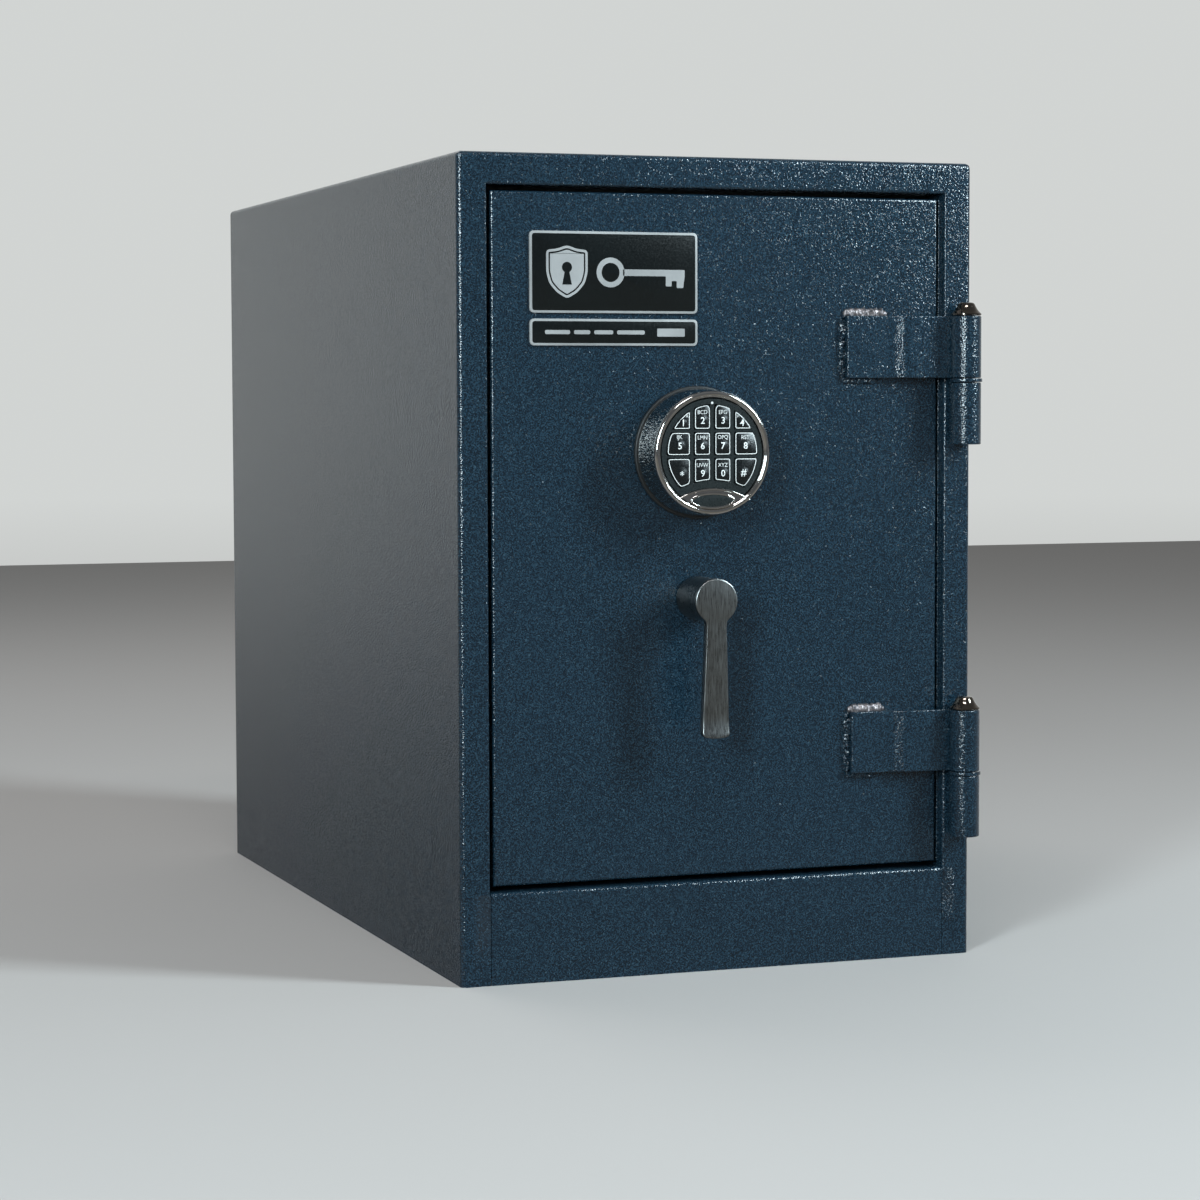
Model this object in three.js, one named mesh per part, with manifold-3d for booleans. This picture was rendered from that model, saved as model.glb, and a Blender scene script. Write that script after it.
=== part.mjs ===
import * as THREE from 'three';
import Module from 'manifold-3d';
import { mergeVertices } from 'three/addons/utils/BufferGeometryUtils.js';

// Compact single-door safe. Millimetres, +Z up, the front faces -Y.
// The origin is the middle of the underside.

const wasm = await Module();
wasm.setup();

// ---- driving sizes ----

const GAP = 0.3;
const NUDGE = 1;

const WIDTH = 358;
const DEPTH = 635;
const HEIGHT = 530;
const SIDE = WIDTH / 2;
const FRONT = -DEPTH / 2;
const BACK = DEPTH / 2;
const SHEET = 3;
const BEND = 3.5;

const OPENING_HALF = 159.4;
const OPENING_TOP = 509.5;
const SILL_TOP = 59.5;
const JAMB_DEPTH = 26;
const SILL_DEPTH = 55;
const BASE_THICK = 4;

const LINER_SHEET = 2;
const LINER_HALF = 152;
const LINER_FLOOR = 62;
const LINER_CEILING = 506;
const LINER_FRONT = FRONT + 55.5;
const LINER_BACK = 290;
const ANCHOR = { x: 0, y: -80, radius: 7 };

const SHELF_TOP = 284;
const SHELF_SHEET = 2;
const SHELF_LIP = 20;
const SHELF_FRONT = -215;
const SHELF_BACK = 287;
const RAIL_LEG = 12;

const DOOR_HALF = 156;
const DOOR_BOTTOM = 63;
const DOOR_TOP = 506;
const DOOR_FRONT = FRONT + 4;
const DOOR_THICK = 12.7;
const DOOR_REAR = DOOR_FRONT + DOOR_THICK;

const PAN = { left: -150, right: 128, bottom: 100, top: 474, rear: -265, sheet: 1.5, flange: 12 };
const PAN_SCREWS = [
  { x: -120, z: 94 },
  { x: 110, z: 94 },
  { x: -120, z: 480 },
  { x: 110, z: 480 },
];

const HINGE_X = SIDE - 9;
const HINGE_Y = FRONT - 11;
const BARREL_RADIUS = 10;
const PIN_RADIUS = 6;
const KNUCKLE = 41;
const WASHER = 2.4;
const STRAP_THICK = 5;
const HINGES = [
  { name: 'upper', top: 428.5, strapEnd: 88.4 },
  { name: 'lower', top: 166.5, strapEnd: 92 },
];

const LOCK_X = -17;
const HANDLE_Z = 245;
const HUB_RADIUS = 14.5;
const HUB_LENGTH = 37;
const LEVER_THICK = 6;
const LEVER_REACH = 88.5;
const SPINDLE_RADIUS = 6;

const CRANK_RADIUS = 11.31;
const CRANK_PIN_RADIUS = 3;
const SLOT_HALF = 3.9;
const BOLT_RADIUS = 8;
const BOLT_Y = -281;
const BOLT_LEVELS = [150, 285, 420];
const BOLT_TIP = -152;
const BAR_LEFT = -127.5;
const BAR_THICK = 6;
const ARM_HALF = 2;

const LOCK_BOLT = { left: LOCK_X - 9.5, right: LOCK_X + 10.5, tip: 299, bevel: 8, slope: 9 / 16 };
const LOCK_CASE = { left: -47, right: 14, bottom: 300, top: 385, front: -296.2, rear: -268.5 };

const KEYPAD_Z = 339.6;
const KEYPAD_BASE_RADIUS = 43;
const KEYPAD_FOOT_RADIUS = 41.4;
const KEYPAD_RADIUS = 40;
const KEYPAD_FACE_RADIUS = 35;
const KEYPAD_FRONT = DOOR_FRONT - 31;
const FACE_FRONT = KEYPAD_FRONT + 2;
const FACE_THICK = 4;
const KEY_CIRCLE = 31.3;
const KEY_PROUD = 0.8;
const BRIDGE_RADIUS = 48.3;
const BRIDGE_TOP = -22.7;
const KEY_ROWS = [[15, 36], [-1.6, 13.4], [-26, -3.2]];
const KEY_COLUMNS = [[-36, -15.2], [-12.6, -1.4], [1.4, 12.6], [15.2, 36]];
const KEY_NAMES = [['1', '2', '3', '4'], ['5', '6', '7', '8'], ['star', '9', '0', 'hash']];

const PLATE_LEFT = -130.5;
const PLATE_RIGHT = -16.2;
const PLATE_THICK = 1.5;
const UPPER_PLATE = { bottom: 429, top: 481 };
const LOWER_PLATE = { bottom: 408.3, top: 425.4 };

// ---- materials ----

function finish(name, color, roughness, metalness) {
  const material = new THREE.MeshStandardMaterial({ color, roughness, metalness });
  material.name = name;
  return material;
}

const PAINT = finish('navy_granite_paint', 0x263a4e, 0.45, 0.3);
const GREY_PAINT = finish('grey_inner_paint', 0x8b8f92, 0.6, 0.1);
const FILL = finish('insulation', 0xb9b4a8, 0.95, 0);
const STEEL = finish('bright_steel', 0xb4b6b8, 0.3, 1);
const ZINC = finish('zinc_plate', 0x9a9c98, 0.4, 1);
const NICKEL = finish('satin_nickel', 0x8e8b84, 0.35, 1);
const CHROME = finish('chrome', 0xd8d8d8, 0.08, 1);
const DARK_CHROME = finish('black_chrome', 0x2a2622, 0.15, 1);
const BLACK = finish('black_plastic', 0x0b0c0d, 0.35, 0);
const KEY_BLACK = finish('key_rubber', 0x101214, 0.45, 0);
const LENS = finish('indicator_lens', 0x7a1010, 0.2, 0);

// ---- shape helpers ----

const group = new THREE.Group();
group.name = 'cabinet_safe';

function solid(geometry) {
  const bare = geometry.clone();
  bare.deleteAttribute('normal');
  bare.deleteAttribute('uv');
  const merged = mergeVertices(bare, 1e-4);
  const vertProperties = Float32Array.from(merged.attributes.position.array);
  const triVerts = Uint32Array.from(merged.index.array);
  return new wasm.Manifold(new wasm.Mesh({ numProp: 3, vertProperties, triVerts }));
}

function surface(manifold) {
  const mesh = manifold.getMesh();
  const geometry = new THREE.BufferGeometry();
  geometry.setAttribute('position', new THREE.BufferAttribute(mesh.vertProperties, 3));
  geometry.setIndex(new THREE.BufferAttribute(mesh.triVerts, 1));
  geometry.computeVertexNormals();
  return geometry;
}

function add(name, body, material) {
  const mesh = new THREE.Mesh(surface(body), material);
  mesh.name = name;
  group.add(mesh);
}

function join(first, ...others) {
  return others.reduce((sum, next) => sum.add(next), first);
}

function cut(first, ...others) {
  return others.reduce((sum, next) => sum.subtract(next), first);
}

function block(x0, x1, y0, y1, z0, z1) {
  const box = new THREE.BoxGeometry(x1 - x0, y1 - y0, z1 - z0);
  box.translate((x0 + x1) / 2, (y0 + y1) / 2, (z0 + z1) / 2);
  return solid(box);
}

function drawn(points) {
  return new THREE.Shape(points.map(([u, v]) => new THREE.Vector2(u, v)));
}

// The outline is (x, y); it runs from z0 up to z1.
function alongZ(shape, z0, z1, curveSegments = 3) {
  const body = new THREE.ExtrudeGeometry(shape, { depth: z1 - z0, bevelEnabled: false, curveSegments });
  body.translate(0, 0, z0);
  return solid(body);
}

// The outline is (x, z); it runs from y0 back to y1.
function alongY(shape, y0, y1, curveSegments = 3) {
  const body = new THREE.ExtrudeGeometry(shape, { depth: y1 - y0, bevelEnabled: false, curveSegments });
  body.rotateX(Math.PI / 2);
  body.translate(0, y1, 0);
  return solid(body);
}

// The outline is (y, z); it runs from x0 across to x1.
function alongX(shape, x0, x1, curveSegments = 3) {
  const body = new THREE.ExtrudeGeometry(shape, { depth: x1 - x0, bevelEnabled: false, curveSegments });
  const turn = new THREE.Matrix4();
  turn.makeBasis(new THREE.Vector3(0, 1, 0), new THREE.Vector3(0, 0, 1), new THREE.Vector3(1, 0, 0));
  body.applyMatrix4(turn);
  body.translate(x0, 0, 0);
  return solid(body);
}

function rodX(y, z, radius, x0, x1, sides) {
  const rod = new THREE.CylinderGeometry(radius, radius, x1 - x0, sides);
  rod.rotateZ(Math.PI / 2);
  rod.translate((x0 + x1) / 2, y, z);
  return solid(rod);
}

function rodY(x, z, radius, y0, y1, sides) {
  const rod = new THREE.CylinderGeometry(radius, radius, y1 - y0, sides);
  rod.translate(x, (y0 + y1) / 2, z);
  return solid(rod);
}

function rodZ(x, y, radius, z0, z1, sides) {
  const rod = new THREE.CylinderGeometry(radius, radius, z1 - z0, sides);
  rod.rotateX(Math.PI / 2);
  rod.translate(x, y, (z0 + z1) / 2);
  return solid(rod);
}

// A turned body on an axis parallel to Z; the profile is (radius, z).
function turnedZ(x, y, profile, sides) {
  const body = new THREE.LatheGeometry(profile.map(([r, z]) => new THREE.Vector2(r, z)), sides);
  body.rotateX(Math.PI / 2);
  body.translate(x, y, 0);
  return solid(body);
}

// A turned body on an axis parallel to Y; the profile is (radius, y).
function turnedY(x, z, profile, sides) {
  const body = new THREE.LatheGeometry(profile.map(([r, y]) => new THREE.Vector2(r, y)), sides);
  body.translate(x, 0, z);
  return solid(body);
}

function roundedOutline(u0, u1, v0, v1, corner) {
  const shape = new THREE.Shape();
  shape.moveTo(u0 + corner, v0);
  shape.lineTo(u1 - corner, v0);
  shape.absarc(u1 - corner, v0 + corner, corner, -Math.PI / 2, 0);
  shape.lineTo(u1, v1 - corner);
  shape.absarc(u1 - corner, v1 - corner, corner, 0, Math.PI / 2);
  shape.lineTo(u0 + corner, v1);
  shape.absarc(u0 + corner, v1 - corner, corner, Math.PI / 2, Math.PI);
  shape.lineTo(u0, v0 + corner);
  shape.absarc(u0 + corner, v0 + corner, corner, Math.PI, 1.5 * Math.PI);
  return shape;
}

// ---- body ----

function bentBox() {
  const low = -BEND - NUDGE;
  const seenFromTop = alongZ(roundedOutline(-SIDE, SIDE, FRONT, BACK, BEND), 0, HEIGHT);
  const seenFromFront = alongY(roundedOutline(-SIDE, SIDE, low, HEIGHT, BEND), FRONT, BACK);
  const seenFromSide = alongX(roundedOutline(FRONT, BACK, low, HEIGHT, BEND), -SIDE, SIDE);
  return seenFromTop.intersect(seenFromFront).intersect(seenFromSide);
}

function bodyShell() {
  const inner = SIDE - SHEET;
  const room = block(-inner, inner, FRONT + SHEET, BACK + NUDGE, -NUDGE, HEIGHT - SHEET);
  const opening = block(-OPENING_HALF, OPENING_HALF, FRONT - NUDGE, FRONT + JAMB_DEPTH, -NUDGE, OPENING_TOP);
  const half = OPENING_HALF + SHEET;
  const top = OPENING_TOP + SHEET;
  const jambs = cut(block(-half, half, FRONT + NUDGE, FRONT + JAMB_DEPTH, 0, top), opening);
  return join(cut(bentBox(), room, opening), jambs);
}

function sill() {
  const shape = new THREE.Shape();
  const rear = FRONT + SILL_DEPTH;
  shape.moveTo(FRONT, 0);
  shape.lineTo(FRONT + JAMB_DEPTH, 0);
  shape.lineTo(FRONT + JAMB_DEPTH, SHEET);
  shape.lineTo(FRONT + SHEET, SHEET);
  shape.lineTo(FRONT + SHEET, SILL_TOP - SHEET);
  shape.lineTo(rear, SILL_TOP - SHEET);
  shape.lineTo(rear, SILL_TOP);
  shape.lineTo(FRONT + BEND, SILL_TOP);
  shape.absarc(FRONT + BEND, SILL_TOP - BEND, BEND, Math.PI / 2, Math.PI);
  return alongX(shape, -OPENING_HALF + 0.5, OPENING_HALF - 0.5);
}

function basePlate() {
  const side = SIDE - SHEET - GAP;
  const plate = block(-side, side, FRONT + SHEET + GAP, BACK - SHEET - 2 * GAP, 0, BASE_THICK);
  const jamb = OPENING_HALF + SHEET + GAP;
  const front = block(-jamb, jamb, FRONT, FRONT + JAMB_DEPTH + GAP, -NUDGE, BASE_THICK + NUDGE);
  return cut(plate, front, anchorBore(ANCHOR.radius));
}

function anchorBore(radius) {
  return rodZ(ANCHOR.x, ANCHOR.y, radius, -NUDGE, LINER_FLOOR + NUDGE, 24);
}

function backPanel() {
  const side = SIDE - SHEET - GAP;
  return block(-side, side, BACK - SHEET - GAP, BACK - GAP, 0, HEIGHT - SHEET - GAP);
}

function liner() {
  const half = LINER_HALF + LINER_SHEET;
  const flangeHalf = SIDE - SHEET - GAP;
  const low = LINER_FLOOR - LINER_SHEET;
  const tub = block(-half, half, LINER_FRONT, LINER_BACK + LINER_SHEET, low, LINER_CEILING - GAP);
  const flangeTop = HEIGHT - SHEET - GAP;
  const flangeRear = LINER_FRONT + LINER_SHEET;
  const flange = block(-flangeHalf, flangeHalf, LINER_FRONT, flangeRear, BASE_THICK + GAP, flangeTop);
  const room = block(-LINER_HALF, LINER_HALF, LINER_FRONT - NUDGE, LINER_BACK, LINER_FLOOR, LINER_CEILING);
  return cut(join(tub, flange), room, anchorBore(ANCHOR.radius));
}

function linerCeiling() {
  const half = LINER_HALF + LINER_SHEET;
  const front = LINER_FRONT + LINER_SHEET + GAP;
  return block(-half, half, front, LINER_BACK + LINER_SHEET, LINER_CEILING, LINER_CEILING + LINER_SHEET);
}

function insulation() {
  const side = SIDE - SHEET - GAP;
  const front = LINER_FRONT + LINER_SHEET + GAP;
  const rear = BACK - SHEET - 2 * GAP;
  const filled = block(-side, side, front, rear, BASE_THICK + GAP, HEIGHT - SHEET - GAP);
  const half = LINER_HALF + LINER_SHEET + GAP;
  const low = LINER_FLOOR - LINER_SHEET - GAP;
  const high = LINER_CEILING + LINER_SHEET + GAP;
  const room = block(-half, half, front - NUDGE, LINER_BACK + LINER_SHEET + GAP, low, high);
  return cut(filled, room, anchorBore(ANCHOR.radius));
}

function anchorPlug() {
  const stem = ANCHOR.radius - GAP;
  const profile = [
    [0, LINER_FLOOR - 12],
    [stem, LINER_FLOOR - 12],
    [stem, LINER_FLOOR + GAP],
    [stem + 4, LINER_FLOOR + GAP],
    [stem + 3, LINER_FLOOR + 2.5],
    [0, LINER_FLOOR + 3],
  ];
  return turnedZ(ANCHOR.x, ANCHOR.y, profile, 24);
}

function shelf() {
  const top = SHELF_TOP;
  const under = top - SHELF_SHEET;
  const outline = drawn([
    [SHELF_FRONT, top - SHELF_LIP],
    [SHELF_FRONT + SHELF_SHEET, top - SHELF_LIP],
    [SHELF_FRONT + SHELF_SHEET, under],
    [SHELF_BACK - SHELF_SHEET, under],
    [SHELF_BACK - SHELF_SHEET, top - SHELF_LIP],
    [SHELF_BACK, top - SHELF_LIP],
    [SHELF_BACK, top],
    [SHELF_FRONT, top],
  ]);
  return alongX(outline, -LINER_HALF + 1, LINER_HALF - 1);
}

function shelfRail(side) {
  const top = SHELF_TOP - SHELF_SHEET - GAP;
  const wall = LINER_HALF - GAP;
  const outline = [
    [wall, top],
    [wall - RAIL_LEG, top],
    [wall - RAIL_LEG, top - 2],
    [wall - 2, top - 2],
    [wall - 2, top - RAIL_LEG],
    [wall, top - RAIL_LEG],
  ].map(([x, z]) => [side * x, z]);
  return alongY(drawn(outline), SHELF_FRONT + 5, SHELF_BACK - 5);
}

// ---- hinges ----

function barrel(bottom, top) {
  return rodZ(HINGE_X, HINGE_Y, BARREL_RADIUS, bottom, top, 32);
}

function pinBore(bottom, top) {
  return rodZ(HINGE_X, HINGE_Y, PIN_RADIUS + GAP, bottom - NUDGE, top + NUDGE, 24);
}

function hingeStrap(hinge) {
  const bottom = hinge.top - KNUCKLE;
  const doorSide = DOOR_FRONT - GAP;
  const frameSide = FRONT - 1;
  const outline = drawn([
    [hinge.strapEnd, doorSide],
    [hinge.strapEnd, doorSide - STRAP_THICK],
    [120.5, doorSide - STRAP_THICK],
    [130, frameSide - STRAP_THICK],
    [HINGE_X - 5, frameSide - STRAP_THICK],
    [HINGE_X, HINGE_Y],
    [HINGE_X, frameSide],
    [131.5, frameSide],
    [122, doorSide],
  ]);
  return cut(join(alongZ(outline, bottom, hinge.top), barrel(bottom, hinge.top)), pinBore(bottom, hinge.top));
}

function frameKnuckle(hinge) {
  const top = hinge.top - KNUCKLE - WASHER - 2 * GAP;
  const bottom = top - KNUCKLE;
  const foot = block(HINGE_X - 5, HINGE_X + 5, HINGE_Y + 5, FRONT - GAP, bottom, top);
  return cut(join(barrel(bottom, top), foot), pinBore(bottom, top));
}

function hingeWasher(hinge) {
  const top = hinge.top - KNUCKLE - GAP;
  const ring = rodZ(HINGE_X, HINGE_Y, BARREL_RADIUS + 0.8, top - WASHER, top, 32);
  return cut(ring, pinBore(top - WASHER, top));
}

function hingePin(hinge) {
  const cap = hinge.top + GAP;
  const profile = [
    [0, hinge.top - 2 * KNUCKLE - WASHER],
    [PIN_RADIUS, hinge.top - 2 * KNUCKLE - WASHER],
    [PIN_RADIUS, cap],
    [BARREL_RADIUS, cap],
    [BARREL_RADIUS, cap + 1.6],
    [8.2, cap + 3],
    [6.6, cap + 5],
    [5.6, cap + 7.2],
    [4, cap + 8.4],
    [0, cap + 8.8],
  ];
  return turnedZ(HINGE_X, HINGE_Y, profile, 24);
}

// ---- door ----

function doorPlate() {
  const plate = block(-DOOR_HALF, DOOR_HALF, DOOR_FRONT, DOOR_REAR, DOOR_BOTTOM, DOOR_TOP);
  const spindle = rodY(LOCK_X, HANDLE_Z, SPINDLE_RADIUS + 0.5, DOOR_FRONT - NUDGE, DOOR_REAR + NUDGE, 24);
  const cable = rodY(LOCK_X, KEYPAD_Z, 5, DOOR_FRONT - NUDGE, DOOR_REAR + NUDGE, 16);
  const taps = PAN_SCREWS.map(({ x, z }) => rodY(x, z, 2.3, DOOR_REAR - 9, DOOR_REAR + NUDGE, 12));
  return cut(plate, spindle, cable, ...taps);
}

function doorPan() {
  const { left, right, bottom, top, rear, sheet, flange } = PAN;
  const front = DOOR_REAR + GAP;
  const tub = block(left, right, front, rear, bottom, top);
  const rim = block(left, right, front, front + sheet, bottom - flange, top + flange);
  const room = block(left + sheet, right - sheet, front - NUDGE, rear - sheet, bottom + sheet, top - sheet);
  const bolts = BOLT_LEVELS.map((z) => rodX(BOLT_Y, z, BOLT_RADIUS + 1, left - NUDGE, left + sheet + NUDGE, 24));
  const screws = PAN_SCREWS.map(({ x, z }) => rodY(x, z, 2.5, front - NUDGE, front + sheet + NUDGE, 12));
  return cut(join(tub, rim), room, ...bolts, ...screws);
}

function panScrew({ x, z }) {
  const seat = DOOR_REAR + GAP + PAN.sheet + GAP;
  const profile = [
    [0, DOOR_REAR - 8],
    [2, DOOR_REAR - 8],
    [2, seat],
    [4.2, seat],
    [4.2, seat + 1],
    [2.8, seat + 2.4],
    [0, seat + 2.8],
  ];
  return turnedY(x, z, profile, 12);
}

function deadBar() {
  const outline = drawn([
    [140, DOOR_REAR + GAP],
    [154, DOOR_REAR + GAP],
    [154, -288.5],
    [164, -288.5],
    [164, -282.5],
    [140, -282.5],
  ]);
  return alongZ(outline, 110, 460);
}

function boltGuide() {
  const left = PAN.left + PAN.sheet + GAP;
  const right = left + 3.5;
  const front = DOOR_REAR + GAP;
  const web = block(left, right, front, -270, 112, 460);
  const foot = block(left, left + 22, front, front + 3, 112, 460);
  const bores = BOLT_LEVELS.map((z) => rodX(BOLT_Y, z, BOLT_RADIUS + 0.4, left - NUDGE, right + NUDGE, 24));
  return cut(join(web, foot), ...bores);
}

function hardPlate() {
  const front = DOOR_REAR + GAP;
  const plate = block(-62, 28, front, front + 4, 215, 395);
  const spindle = rodY(LOCK_X, HANDLE_Z, SPINDLE_RADIUS + 0.5, front - NUDGE, front + 5, 24);
  const cable = rodY(LOCK_X, KEYPAD_Z, 5, front - NUDGE, front + 5, 16);
  return cut(plate, spindle, cable);
}

function lockCase() {
  const { left, right, bottom, top, front, rear } = LOCK_CASE;
  const { left: boltLeft, right: boltRight } = LOCK_BOLT;
  const body = alongY(roundedOutline(left, right, bottom, top, 3), front, rear);
  const channel = block(boltLeft - 0.5, boltRight + 0.5, BOLT_Y - 5.5, BOLT_Y + 5.5, bottom - NUDGE, bottom + 33);
  const socket = rodY(LOCK_X, KEYPAD_Z, 3, front - NUDGE, front + 7, 16);
  return cut(body, channel, socket);
}

function relocker() {
  const front = DOOR_REAR + GAP;
  const body = block(45, 75, front, front + 14, 250, 268);
  const pin = rodX(front + 7, 259, 4, 38, 50, 16);
  return join(body, pin);
}

function namePlate({ bottom, top }) {
  return alongY(
    roundedOutline(PLATE_LEFT, PLATE_RIGHT, bottom, top, 2.5),
    DOOR_FRONT - GAP - PLATE_THICK,
    DOOR_FRONT - GAP,
  );
}

// ---- keypad ----

function keypadBase() {
  const rear = DOOR_FRONT - GAP;
  const front = rear - 2.6;
  const profile = [
    [5, rear],
    [5, front],
    [KEYPAD_BASE_RADIUS - 0.6, front],
    [KEYPAD_BASE_RADIUS, front + 0.8],
    [KEYPAD_BASE_RADIUS, rear],
    [5, rear],
  ];
  return turnedY(LOCK_X, KEYPAD_Z, profile, 48);
}

function faceOpening(inset, y0, y1) {
  const disc = rodY(LOCK_X, KEYPAD_Z, KEYPAD_FACE_RADIUS - inset, y0, y1, 48);
  const bridge = rodY(LOCK_X, KEYPAD_Z + BRIDGE_TOP - BRIDGE_RADIUS, BRIDGE_RADIUS + inset, y0 - 1, y1 + 1, 96);
  return cut(disc, bridge);
}

function badge(inset, y0, y1) {
  const shape = new THREE.Shape();
  shape.absellipse(LOCK_X, KEYPAD_Z - 31, 15.5 - inset, 4.6 - inset, 0, 2 * Math.PI);
  return alongY(shape, y0, y1, 28);
}

function keypadHousing() {
  const rear = DOOR_FRONT - 2 * GAP - 2.6;
  const front = KEYPAD_FRONT;
  const wall = 3;
  const profile = [
    [0, front + 1],
    [KEYPAD_FACE_RADIUS, front + 1],
    [KEYPAD_RADIUS - 3.6, front],
    [KEYPAD_RADIUS - 1, front + 0.8],
    [KEYPAD_RADIUS, front + 3],
    [KEYPAD_FOOT_RADIUS, rear],
    [KEYPAD_FOOT_RADIUS - wall, rear],
    [KEYPAD_RADIUS - wall, FACE_FRONT + FACE_THICK],
    [0, FACE_FRONT + FACE_THICK],
  ];
  const cup = turnedY(LOCK_X, KEYPAD_Z, profile, 48);
  const window = faceOpening(0, front - 2, FACE_FRONT + FACE_THICK + 1);
  return cut(cup, window, badge(0, front - 2, front + 2));
}

function keypadBadge() {
  return badge(GAP, KEYPAD_FRONT + 0.6, KEYPAD_FRONT + 1.7);
}

function keyOutline(row, column, inset) {
  const [low, high] = KEY_ROWS[row];
  const [left, right] = KEY_COLUMNS[column];
  const y0 = FACE_FRONT - 2;
  const y1 = FACE_FRONT + FACE_THICK + 2;
  const cell = block(
    LOCK_X + left + inset,
    LOCK_X + right - inset,
    y0,
    y1,
    KEYPAD_Z + low + inset,
    KEYPAD_Z + high - inset,
  );
  const disc = rodY(LOCK_X, KEYPAD_Z, KEY_CIRCLE - inset, y0 - 1, y1 + 1, 48);
  const sag = rodY(LOCK_X, KEYPAD_Z + BRIDGE_TOP - BRIDGE_RADIUS, BRIDGE_RADIUS + 5 + inset, y0 - 1, y1 + 1, 96);
  return cut(cell.intersect(disc), sag);
}

function slice(y0, y1) {
  return block(-SIDE, SIDE, y0, y1, 0, HEIGHT);
}

function keypadFace() {
  const plate = faceOpening(GAP, FACE_FRONT, FACE_FRONT + FACE_THICK);
  const keys = KEY_NAMES.flatMap((names, row) => names.map((_, column) => keyOutline(row, column, 0)));
  const lamp = rodY(LOCK_X, KEYPAD_Z + 32, 1.1, FACE_FRONT - NUDGE, FACE_FRONT + 1.5, 12);
  return cut(plate, ...keys, lamp);
}

function keypadKey(row, column) {
  const front = FACE_FRONT - KEY_PROUD;
  return keyOutline(row, column, GAP).intersect(slice(front, front + FACE_THICK));
}

function keypadLamp() {
  return rodY(LOCK_X, KEYPAD_Z + 32, 0.8, FACE_FRONT - 0.2, FACE_FRONT + 1.2, 12);
}

function keypadBoard() {
  const rear = FACE_FRONT + FACE_THICK + 3.5;
  return faceOpening(1, rear - 1.6, rear);
}

function keypadBattery() {
  return block(LOCK_X - 24, LOCK_X + 24, -334, -318, KEYPAD_Z - 28, KEYPAD_Z - 3);
}

function keypadCable() {
  const rear = LOCK_CASE.front + 6;
  return rodY(LOCK_X, KEYPAD_Z, 2.5, DOOR_FRONT - 2.6, rear, 12);
}

// ---- handle ----

function leverOutline() {
  const neck = 7;
  const tip = 9.3;
  const end = HANDLE_Z - LEVER_REACH;
  const shape = new THREE.Shape();
  shape.moveTo(LOCK_X - neck, HANDLE_Z);
  shape.lineTo(LOCK_X - neck, HANDLE_Z - 16);
  shape.lineTo(LOCK_X - tip, end + 4);
  shape.quadraticCurveTo(LOCK_X - tip, end + 0.6, LOCK_X, end);
  shape.quadraticCurveTo(LOCK_X + tip, end + 0.6, LOCK_X + tip, end + 4);
  shape.lineTo(LOCK_X + neck, HANDLE_Z - 16);
  shape.lineTo(LOCK_X + neck, HANDLE_Z);
  return shape;
}

function handleLever() {
  const front = DOOR_FRONT - HUB_LENGTH;
  const hub = rodY(LOCK_X, HANDLE_Z, HUB_RADIUS, front, DOOR_FRONT - GAP, 40);
  const blade = alongY(leverOutline(), front, front + LEVER_THICK, 6);
  const bore = rodY(LOCK_X, HANDLE_Z, SPINDLE_RADIUS + GAP, front + 12, DOOR_FRONT, 24);
  return cut(join(hub, blade), bore);
}

function handleSpindle() {
  return rodY(LOCK_X, HANDLE_Z, SPINDLE_RADIUS, DOOR_FRONT - HUB_LENGTH + 13, -287, 24);
}

function spindleCam() {
  const reach = CRANK_RADIUS / Math.SQRT2;
  const x = LOCK_X + reach;
  const z = HANDLE_Z + reach;
  const disc = rodY(LOCK_X, HANDLE_Z, 17, -295, -285, 32);
  const crank = rodY(x, z, CRANK_PIN_RADIUS, -286, -276, 20);
  const bore = rodY(LOCK_X, HANDLE_Z, SPINDLE_RADIUS + GAP, -296, -286.5, 24);
  return cut(join(disc, crank), bore);
}

// ---- boltwork ----

function boltBar() {
  const right = BAR_LEFT + BAR_THICK;
  const spine = block(BAR_LEFT, right, BOLT_Y - 9, BOLT_Y + 9, 135, 435);
  const armTop = HANDLE_Z + 20;
  const { left, bevel, slope, tip } = LOCK_BOLT;
  const arm = block(right - 1, LOCK_X + 24, BOLT_Y - ARM_HALF, BOLT_Y + ARM_HALF, HANDLE_Z - 14, armTop);
  const rampTop = tip - 0.6;
  const rampEnd = left + 16 + bevel;
  const finger = alongY(
    drawn([
      [left - 14, armTop - 1],
      [rampEnd, armTop - 1],
      [rampEnd, rampTop - (rampEnd - left) * slope],
      [left, rampTop],
      [left - 14, rampTop],
    ]),
    BOLT_Y - ARM_HALF,
    BOLT_Y + ARM_HALF,
  );
  const slotX = LOCK_X + CRANK_RADIUS / Math.SQRT2;
  const slot = block(slotX - SLOT_HALF, slotX + SLOT_HALF, BOLT_Y - 5, BOLT_Y + 5, HANDLE_Z + 4, HANDLE_Z + 15.2);
  return cut(join(spine, arm, finger), slot);
}

function lockingBolt(z) {
  const inner = BAR_LEFT - GAP;
  const chamfer = 1.5;
  const profile = [
    [0, inner],
    [BOLT_RADIUS, inner],
    [BOLT_RADIUS, BOLT_TIP + chamfer],
    [BOLT_RADIUS - chamfer, BOLT_TIP],
    [0, BOLT_TIP],
  ];
  const body = new THREE.LatheGeometry(profile.map(([r, x]) => new THREE.Vector2(r, -x)), 24);
  body.rotateZ(Math.PI / 2);
  body.translate(0, BOLT_Y, z);
  return solid(body);
}

function lockBolt() {
  const { left, right, tip, bevel, slope } = LOCK_BOLT;
  const outline = drawn([
    [left, tip],
    [left + bevel, tip - bevel * slope],
    [right, tip - bevel * slope],
    [right, tip + 31],
    [left, tip + 31],
  ]);
  return alongY(outline, BOLT_Y - 5, BOLT_Y + 5);
}

// ---- assembly ----

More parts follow.
